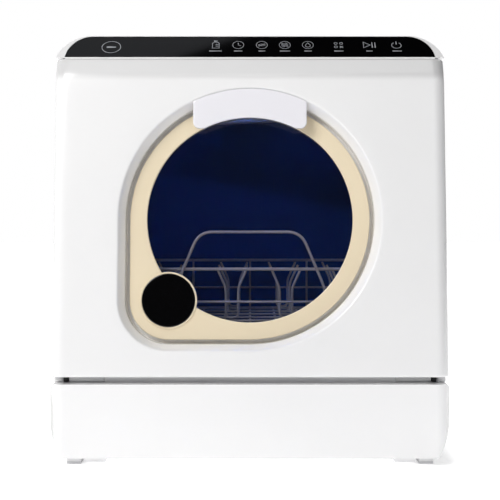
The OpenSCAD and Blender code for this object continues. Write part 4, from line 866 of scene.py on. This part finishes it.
# ---- Steel in the chamber ----
# The filter plate is a perforated sheet of brushed stainless steel. The filter cup, the heater's
# tube and the basket's rails are plain stainless steel. The brush's marks are drawn about 8 mm
# long and 0.6 mm wide, coarser than they are, so that they show.
brushed = ("B9BBBF", 0.3, 25 / 3, 14)
steel = metal("brushed_stainless_steel", *brushed)
dress(steel, "basket_rails", "heater_element", "filter_cup")
perforated = metal("perforated_stainless_steel", *brushed)
holes = perforated.node_tree
# rows of round holes, 1.4 mm wide
hole_pitch_mm, hole_r_share = 2.4, 0.3
cell = add(holes, "VectorMath", {0: add(holes, "TexCoord").outputs["Object"],
                                 1: (1000 / hole_pitch_mm, 1000 / hole_pitch_mm, 0)},
           operation="MULTIPLY").outputs[0]
cell = add(holes, "VectorMath", {0: cell}, operation="FRACTION").outputs[0]
middle = add(holes, "VectorMath", {0: cell, 1: (0.5, 0.5, 0)}, operation="DISTANCE").outputs["Value"]
solid_part = add(holes, "Math", {0: middle, 1: hole_r_share}, operation="GREATER_THAN").outputs[0]
hole_surface = holes.nodes["Principled BSDF"]
steel_tone = hole_surface.inputs["Base Color"].links[0].from_socket
holes.links.new(add(holes, "Mix", {0: solid_part, 6: colour("0C0D0F"), 7: steel_tone},
                    data_type="RGBA").outputs[2], hole_surface.inputs["Base Color"])
dress(perforated, "filter_plate")

# ---- Works behind the chamber ----
# Motors with steel cans, black nylon brackets and fan housing, a blue nylon inlet valve, a milky
# polypropylene tank and a green circuit board under the control glass.
dress(steel, "wash_pump_motor")
nylon = moulded("black_nylon", "232326", 0.5, grain_mm=0.5, relief=0.1)
dress(nylon, "hinge_brackets", "fan_housing", "cord_gland")
ease(0.5, "hinge_brackets", "cord_gland")
valve_nylon = moulded("blue_nylon", "2E58B0", 0.4)
dress(valve_nylon, "inlet_valve")
dress(pale, "inlet_connector", "drain_spigot")
# light passes softly through the tank's unpigmented wall
milky = moulded("milky_polypropylene", "E4ECF2", 0.45)
milky_surface = milky.node_tree.nodes["Principled BSDF"]
milky_surface.inputs["Transmission Weight"].default_value = 0.7
dress(milky, "water_tank")
board = moulded("circuit_board", "0F5A32", 0.35)
# lighter copper tracks under the glossy green lacquer, some 6 mm apart
tracks = board.node_tree
track_lines = add(tracks, "TexVoronoi", {"Vector": add(tracks, "TexCoord").outputs["Object"],
                                         "Scale": 1000 / 6.25},
                  feature="DISTANCE_TO_EDGE").outputs["Distance"]
track_tone = add(tracks, "ValToRGB", {"Fac": track_lines}, [(0.02, "3FA266"), (0.05, "0F5A32")])
tracks.links.new(track_tone.outputs["Color"], tracks.nodes["Principled BSDF"].inputs["Base Color"])
dress(board, "control_board")
